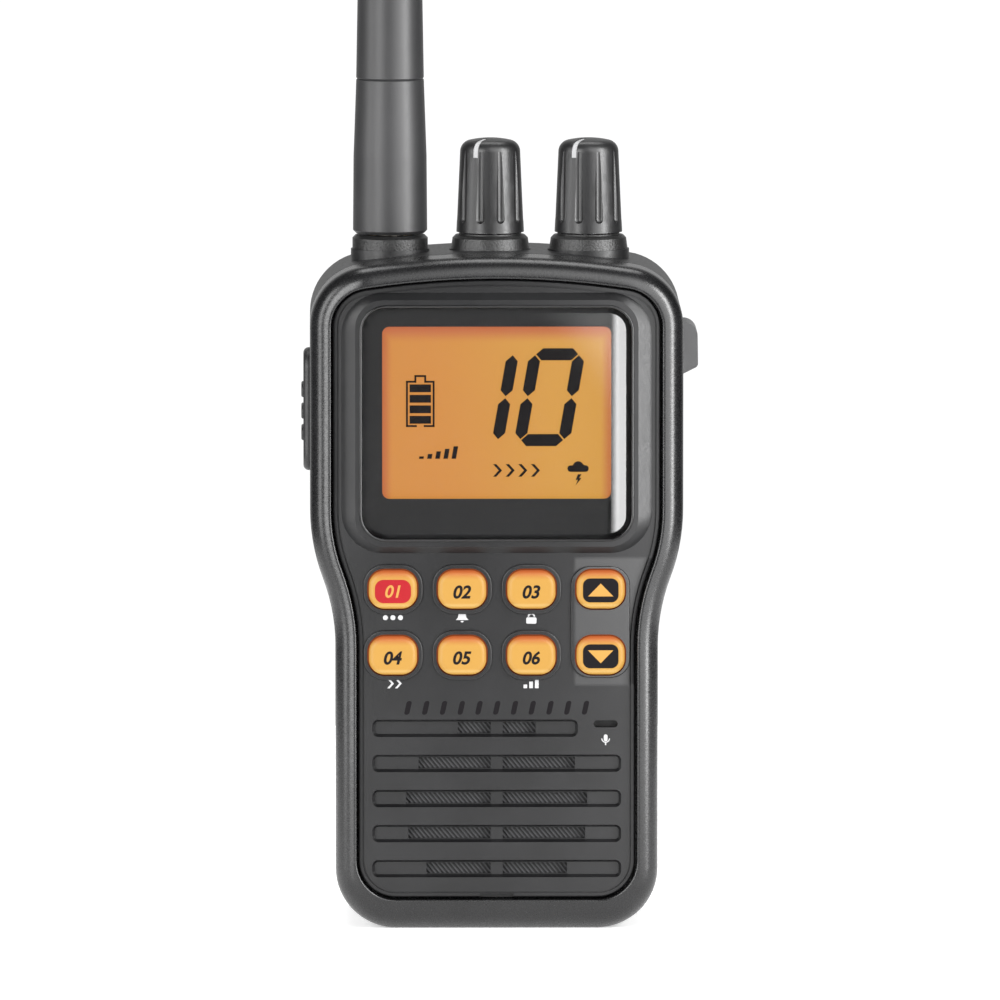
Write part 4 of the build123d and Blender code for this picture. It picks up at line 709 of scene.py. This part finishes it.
def battery_sign():
    """A battery with an open foot, a cap and four bars."""
    left, right, low, high = -15.05, -10.3, 83.6, 91.3
    stub, line = 1.8, INK_LINE
    cap_left, cap_right, cap_top = left + 1.4, right - 1.4, high + 0.95
    marks = [
        box_points(left, low, left + line, high),
        box_points(right - line, low, right, high),
        box_points(left, low, left + stub, low + line),
        box_points(right - stub, low, right, low + line),
        box_points(left, high - line, cap_left + line, high),
        box_points(cap_right - line, high - line, right, high),
        box_points(cap_left, high - line, cap_left + line, cap_top),
        box_points(cap_right - line, high - line, cap_right, cap_top),
        box_points(cap_left, cap_top - line, cap_right, cap_top),
    ]
    inset, bar_height, pitch = 0.6, 1.3, 1.75
    for bar in range(4):
        foot = low + 0.55 + pitch * bar
        marks.append(box_points(left + inset, foot, right - inset, foot + bar_height))
    return marks


def step_sign():
    """Five slanted bars, each taller than the last."""
    foot, bar_width, pitch = 78.3, 0.75, 1.35
    marks = []
    for step in range(5):
        x = -12.9 + pitch * step
        bar = box_points(x, foot, x + bar_width, 78.7 + 0.42 * step)
        marks.append(leaned(bar, foot, DIGIT_LEAN))
    return marks


def storm_sign():
    """A cloud with a flash under it."""
    cloud = arc((14.75, 76.65), 0.55, -90, 80)
    cloud += arc((13.55, 76.95), 0.92, 20, 165)
    cloud += arc((12.30, 76.65), 0.55, 110, 270)
    flash = [
        (13.5, 75.7),
        (13.1, 74.7),
        (13.5, 74.8),
        (13.1, 73.8),
        (14.1, 75.1),
        (13.7, 75.05),
        (14.1, 75.7),
    ]
    return [cloud, flash]


def make_screen_marks():
    """Channel number, battery level and small signs on the screen."""
    marks = seven_segment(DIGIT_X - DIGIT_WIDTH - DIGIT_SPACE, "bc")
    marks += seven_segment(DIGIT_X, "abcdef")
    marks += battery_sign() + step_sign()
    marks += [chevron(left, ARROWHEAD_Z, 1.5, 1.05, 0.55) for left in ARROWHEAD_PLACES]
    marks += storm_sign()
    front = LCD_LOW.y - INK_LIFT
    plates("screen_marks", marks, front, front + INK_THICKNESS, "radio", "ink")


make_screen_marks()

# ---------------------------------------------------------------- keys

KEY_NUMBERS = {
    "key_weather": "02",
    "key_lock": "03",
    "key_scan": "04",
    "key_memory": "05",
    "key_power": "06",
}
NUMBER_DROP = 0.35
NUMBER_HEIGHT = 2.25
NUMBER_BOLD = 0.028
RED_DROP = 0.25
RED_FIELD = (6.0, 3.9, 1.45)
RED_NUMBER_HEIGHT = 2.1
RED_NUMBER_BOLD = 0.02
ARROW_DROP = 0.1
ARROW_FIELD = (5.9, 4.0, 1.2)
ARROW_HALF = 2.1
ARROW_FOOT = 1.0
ARROW_TIP = 1.15


def key_centre(node):
    """Middle of a key in X and Z, and its front in Y."""
    low, high = span(node)
    return (low.x + high.x) / 2, (low.z + high.z) / 2, low.y


def make_numbers():
    """Plain numbers on five of the keys."""
    for node, number in KEY_NUMBERS.items():
        x, z, front = key_centre(node)
        place = (x, z - NUMBER_DROP)
        number_text(
            node + "_mark",
            number,
            place,
            NUMBER_HEIGHT,
            front - PRINT,
            node,
            "ink",
            NUMBER_BOLD,
        )


def make_red_key():
    """A red field and a plain number on the first key."""
    node = "key_priority"
    x, z, front = key_centre(node)
    place = (x, z - RED_DROP)
    field = round_box(*place, *RED_FIELD)
    plates(node + "_field", [field], front - PRINT, front, node, "red")
    number_text(
        node + "_mark",
        "01",
        place,
        RED_NUMBER_HEIGHT,
        front - 2 * PRINT,
        node,
        "amber",
        RED_NUMBER_BOLD,
    )


def make_arrow_keys():
    """A black field and an arrow on the two keys of the pad."""
    for node, turn in (("key_up", 1), ("key_down", -1)):
        x, z, front = key_centre(node)
        z -= ARROW_DROP
        middle, top = front - PRINT, front - 2 * PRINT
        field = round_box(x, z, *ARROW_FIELD)
        plates(node + "_field", [field], middle, front, node, "ink")
        foot, tip = z - ARROW_FOOT * turn, z + ARROW_TIP * turn
        arrow = [(x - ARROW_HALF, foot), (x + ARROW_HALF, foot), (x, tip)]
        plates(node + "_arrow", [arrow[::turn]], top, middle, node, "amber")


make_numbers()
make_red_key()
make_arrow_keys()

# ---------------------------------------------------------------- signs on the panel

SIGN_DROP = 4.75
MIC_SIGN_DROP = 2.6
STROKE_COUNT = 11
STROKE_PITCH = 2.95
STROKE_Z = 36.9
STROKE_SIZE = (0.85, 2.3, 0.4)


def dots_sign(x, z):
    """Three dots in a row."""
    return [arc((x + 1.25 * place, z), 0.42, 0, 337, 15) for place in (-1, 0, 1)]


def bell_sign(x, z):
    """A bell and its clapper."""
    foot = z - 0.75
    bell = [(x - 1.05, foot + 0.35), (x - 0.7, foot + 0.75)]
    bell += [(x + dx, foot + dz) for dx, dz in arc((0, 1.15), 0.62, 180, 0)]
    bell += [(x + 0.7, foot + 0.75), (x + 1.05, foot + 0.35)]
    return [bell, arc((x, foot + 0.2), 0.26, 180, 360)]


def lock_sign(x, z):
    """A closed padlock."""
    foot = z - 0.9
    shackle = ring(x, foot + 1.05, 0.62, 0.36, 0, 180)
    return [round_box(x, foot + 0.40, 1.7, 1.05, 0.2), shackle]


def scan_sign(x, z):
    """Two arrowheads."""
    return [chevron(x + place, z, 1.1, 0.8, 0.4) for place in (-0.95, 0.35)]


def level_sign(x, z):
    """Three bars, each taller than the last."""
    bars = []
    for step in range(3):
        left = x - 1.3 + 0.95 * step
        bars.append(box_points(left, z - 0.8, left + 0.6, z - 0.2 + 0.5 * step))
    return bars


def microphone_sign(x, z):
    """A microphone in its cradle."""
    head = round_box(x, z + 0.25, 0.62, 1.15, 0.3)
    stem = box_points(x - 0.1, z - 0.95, x + 0.1, z - 0.55)
    return [head, ring(x, z + 0.15, 0.72, 0.55, 180, 360), stem]


KEY_SIGNS = {
    "key_priority": dots_sign,
    "key_weather": bell_sign,
    "key_lock": lock_sign,
    "key_scan": scan_sign,
    "key_power": level_sign,
}


def make_panel_signs():
    """Small light signs under the keys and by the microphone."""
    signs = []
    for node, sign in KEY_SIGNS.items():
        x, z, _ = key_centre(node)
        signs += sign(x, z - SIGN_DROP)
    x = (MIC_LOW.x + MIC_HIGH.x) / 2
    z = (MIC_LOW.z + MIC_HIGH.z) / 2
    signs += microphone_sign(x, z - MIC_SIGN_DROP)
    front = PANEL_Y - PRINT
    plates("panel_signs", signs, front, PANEL_Y, "radio", "white")


def make_panel_strokes():
    """A row of plain dark strokes over the grille."""
    strokes = []
    for step in range(STROKE_COUNT):
        x = (step - (STROKE_COUNT - 1) / 2) * STROKE_PITCH
        strokes.append(leaned(round_box(x, STROKE_Z, *STROKE_SIZE), STROKE_Z, PRINT_LEAN))
    front = PANEL_Y - PRINT
    plates("panel_strokes", strokes, front, PANEL_Y, "radio", "ink")


make_panel_signs()
make_panel_strokes()

# ---------------------------------------------------------------- bead round the window

BEAD_RADIUS = 0.24
BEAD_SIDES = 12
BEAD_PROUD = 0.02
WINDOW_RADIUS = 4.0


def make_window_bead():
    """Gloss bead in the joint between the window and its border."""
    middle = (WINDOW_LOW.z + WINDOW_HIGH.z) / 2
    width = WINDOW_HIGH.x - WINDOW_LOW.x + 2 * BEAD_RADIUS
    height = WINDOW_HIGH.z - WINDOW_LOW.z + 2 * BEAD_RADIUS
    path = round_box(0.0, middle, width, height, WINDOW_RADIUS + BEAD_RADIUS)
    centre_y = PANEL_LOW.y - BEAD_PROUD
    mesh = bmesh.new()
    rows = []
    for place, (x, z) in enumerate(path):
        before, after = path[place - 1], path[(place + 1) % len(path)]
        along = Vector((after[0] - before[0], after[1] - before[1])).normalized()
        row = []
        for dx, dy in circle((0.0, 0.0), BEAD_RADIUS, BEAD_SIDES):
            point = (x + along.y * dx, centre_y + dy, z - along.x * dx)
            row.append(mesh.verts.new([value * MM for value in point]))
        rows.append(row)
    bridge(mesh, rows + rows[:1])
    add_mesh("window_bead", mesh, "radio", "bead", smooth=True)


make_window_bead()

# ---------------------------------------------------------------- lips in the joint of the pack

LIP_PLACES = (-20.0, 20.0)
LIP_HALF = 0.5
LIP_INSET = 1.0
LIP_FRONT = 0.35
LIP_BACK = 0.2


def make_pack_lips():
    """Two upright lips across the joint of rear case and pack, so that no light shows through."""
    low, high = span("battery_case")
    foot, top = low.z + LIP_INSET, high.z - LIP_INSET
    lips = [box_points(x - LIP_HALF, foot, x + LIP_HALF, top) for x in LIP_PLACES]
    front, back = low.y - LIP_FRONT, low.y + LIP_BACK
    plates("pack_lips", lips, front, back, "radio", "case")


make_pack_lips()

# ---------------------------------------------------------------- antenna thread

THREAD_PITCH = 0.7
THREAD_CREST = 0.07
THREAD_ROOT = -0.02
THREAD_START = 0.5
THREAD_FREE = 5.0
THREAD_STEPS = 48


def make_antenna_thread():
    """Fine thread round the antenna's stud, from its foot up."""
    low, high = span("antenna_stud")
    axis_x, axis_y = (low.x + high.x) / 2, (low.y + high.y) / 2
    radius = (high.x - low.x) / 2
    crest, root = radius + THREAD_CREST, radius + THREAD_ROOT
    profile = ((root, -0.3), (crest, -0.06), (crest, 0.06), (root, 0.3))
    turns = int((high.z - low.z - THREAD_FREE) / THREAD_PITCH)
    mesh = bmesh.new()
    rows = []
    for step in range(turns * THREAD_STEPS + 1):
        turn = 2 * math.pi * step / THREAD_STEPS
        z = low.z + THREAD_START + THREAD_PITCH * step / THREAD_STEPS
        row = []
        for reach, rise in profile:
            x = axis_x + reach * math.cos(turn)
            y = axis_y + reach * math.sin(turn)
            point = (x, y, z + rise * THREAD_PITCH)
            row.append(mesh.verts.new([value * MM for value in point]))
        rows.append(row)
    bridge(mesh, rows)
    mesh.faces.new(rows[0])
    mesh.faces.new(list(reversed(rows[-1])))
    add_mesh("antenna_thread", mesh, "antenna", "stud")


make_antenna_thread()

# ---------------------------------------------------------------- floor

FLOOR_REACH = 0.30
FLOOR_SIDES = 144
FLOOR_TONES = (0.93, 0.93, 0.93), (0.95, 0.95, 0.95)
FLOOR_GLOW = 0.42


def make_floor():
    """Pale round floor that fades into the white background."""
    mesh = bmesh.new()
    rim = circle((0.0, 0.0), FLOOR_REACH, FLOOR_SIDES)
    mesh.faces.new([mesh.verts.new((x, y, 0.0)) for x, y in rim])
    data = bpy.data.meshes.new("floor")
    mesh.to_mesh(data)
    mesh.free()
    graph = new_paint("floor_paint")
    shader = graph.principled(
        Base_Color=graph.mix(graph.noise(120.0), *FLOOR_TONES),
        Roughness=0.9,
        Emission_Color=(1.0, 1.0, 1.0),
        Emission_Strength=FLOOR_GLOW,
    )
    data.materials.append(graph.finish(shader))
    floor = bpy.data.objects.new("floor", data)
    bpy.context.scene.collection.objects.link(floor)


# ---------------------------------------------------------------- studio

# What gloss mirrors is darker than the white background: dim sides, a front that is a little
# lighter, a light back, and a bright pane at the right of the front. The ranges are those of a
# direction's share to the front, the right or up. The pane's own two are in degrees off the
# front: it starts at 16.5, is full from 19 to 40 and is gone at 72.
BACK_LIGHT = 0.60
SIDE_LIGHT = 0.05
FRONT_LIGHT = 0.16
PANE_LIGHT = 4.0
BACK_RANGE = (-0.95, -0.60)
FRONT_RANGE = (-0.1, 0.5)
PANE_LEFT = (-0.06, 0.02)
PANE_FOOT = (-0.5, -0.3)
PANE_NEAR = (19.0, 16.5)
PANE_FAR = (72.0, 40.0)

# What lights the dull surfaces, and what the camera sees behind the radio.
PLAIN_LIGHT = 0.45
BACKGROUND = 1.05


def cosines(angles):
    return [math.cos(math.radians(angle)) for angle in angles]


def make_world():
    """White studio that gloss mirrors as a darker room."""
    graph = Graph(bpy.data.worlds.new("studio"), "Generated")
    right, back, up = graph.parts()
    front = graph.times(back, -1.0)
    behind = graph.ease(front, *BACK_RANGE, BACK_LIGHT, SIDE_LIGHT)
    ahead = graph.ease(front, *FRONT_RANGE, SIDE_LIGHT, FRONT_LIGHT)
    plain = graph.calc("MAXIMUM", behind, ahead)
    near = graph.spread(front, *cosines(PANE_NEAR), 1.0, 0.0)
    far = graph.ease(front, *cosines(PANE_FAR))
    high = graph.times(graph.spread(right, *PANE_LEFT), graph.spread(up, *PANE_FOOT))
    pane = graph.times(graph.times(near, far), graph.times(high, PANE_LIGHT))
    rays = graph.add("ShaderNodeLightPath").outputs
    mirrored = graph.plus(plain, pane)
    strength = graph.spread(rays["Is Glossy Ray"], 0.0, 1.0, PLAIN_LIGHT, mirrored)
    strength = graph.spread(rays["Is Camera Ray"], 0.0, 1.0, strength, BACKGROUND)
    background = graph.add("ShaderNodeBackground")
    graph.feed(background.inputs["Color"], (1.0, 1.0, 1.0))
    graph.feed(background.inputs["Strength"], strength)
    bpy.context.scene.world = graph.finish(background, "ShaderNodeOutputWorld")


# Place and size in metres, and power in watts.
LAMPS = {
    "left_box": ((-0.62, -0.79, 0.30), (0.34, 0.9), 8.6),
    "right_box": ((0.75, -0.49, 0.32), (0.24, 0.9), 12.0),
    "left_side": ((-0.93, -0.30, 0.30), (0.30, 0.9), 5.0),
    "top_box": ((0.0, 0.30, 1.0), (0.8, 0.4), 4.0),
}
LAMP_AIM = Vector((0.0, 0.0, 0.07))


def make_lamps():
    """Soft rectangular lamps aimed at the radio.

    The window is left out, because it would mirror them and hide the screen from the sides.
    """
    spared = bpy.data.collections.new("spared")
    spared.objects.link(NODES["display_window"])
    spared.collection_objects[0].light_linking.link_state = "EXCLUDE"
    for name, (place, size, power) in LAMPS.items():
        data = bpy.data.lights.new(name, "AREA")
        data.shape = "RECTANGLE"
        data.size, data.size_y = size
        data.energy = power
        light = bpy.data.objects.new(name, data)
        light.location = place
        light.rotation_euler = (LAMP_AIM - Vector(place)).to_track_quat("-Z", "Y").to_euler()
        bpy.context.scene.collection.objects.link(light)
        light.light_linking.receiver_collection = spared


# ---------------------------------------------------------------- camera, fitted to the photograph

# The picture's side is in pixels. A pixel is that many millimetres wide at the target.
PICTURE_SIDE = 1000
PIXEL = 0.1661
TARGET = Vector((0.556, -16.0, 71.43))
AZIMUTH = math.radians(-0.6)
ELEVATION = math.radians(5.35)
LENS = 600.0
SENSOR = 36.0
CAMERA_REACH = 50.0


def make_camera():
    """Long lens that looks at the target from the photograph's side."""
    data = bpy.data.cameras.new("camera")
    data.lens = LENS
    data.sensor_width = SENSOR
    data.clip_end = CAMERA_REACH
    camera = bpy.data.objects.new("camera", data)
    distance = PICTURE_SIDE * PIXEL * MM * LENS / SENSOR
    away = Vector(
        (
            math.sin(AZIMUTH) * math.cos(ELEVATION),
            -math.cos(AZIMUTH) * math.cos(ELEVATION),
            math.sin(ELEVATION),
        )
    )
    camera.location = TARGET * MM + away * distance
    camera.rotation_euler = (-away).to_track_quat("-Z", "Y").to_euler()
    bpy.context.scene.collection.objects.link(camera)
    bpy.context.scene.camera = camera


make_floor()
make_world()
make_lamps()
make_camera()
bpy.context.scene.view_settings.view_transform = "Standard"
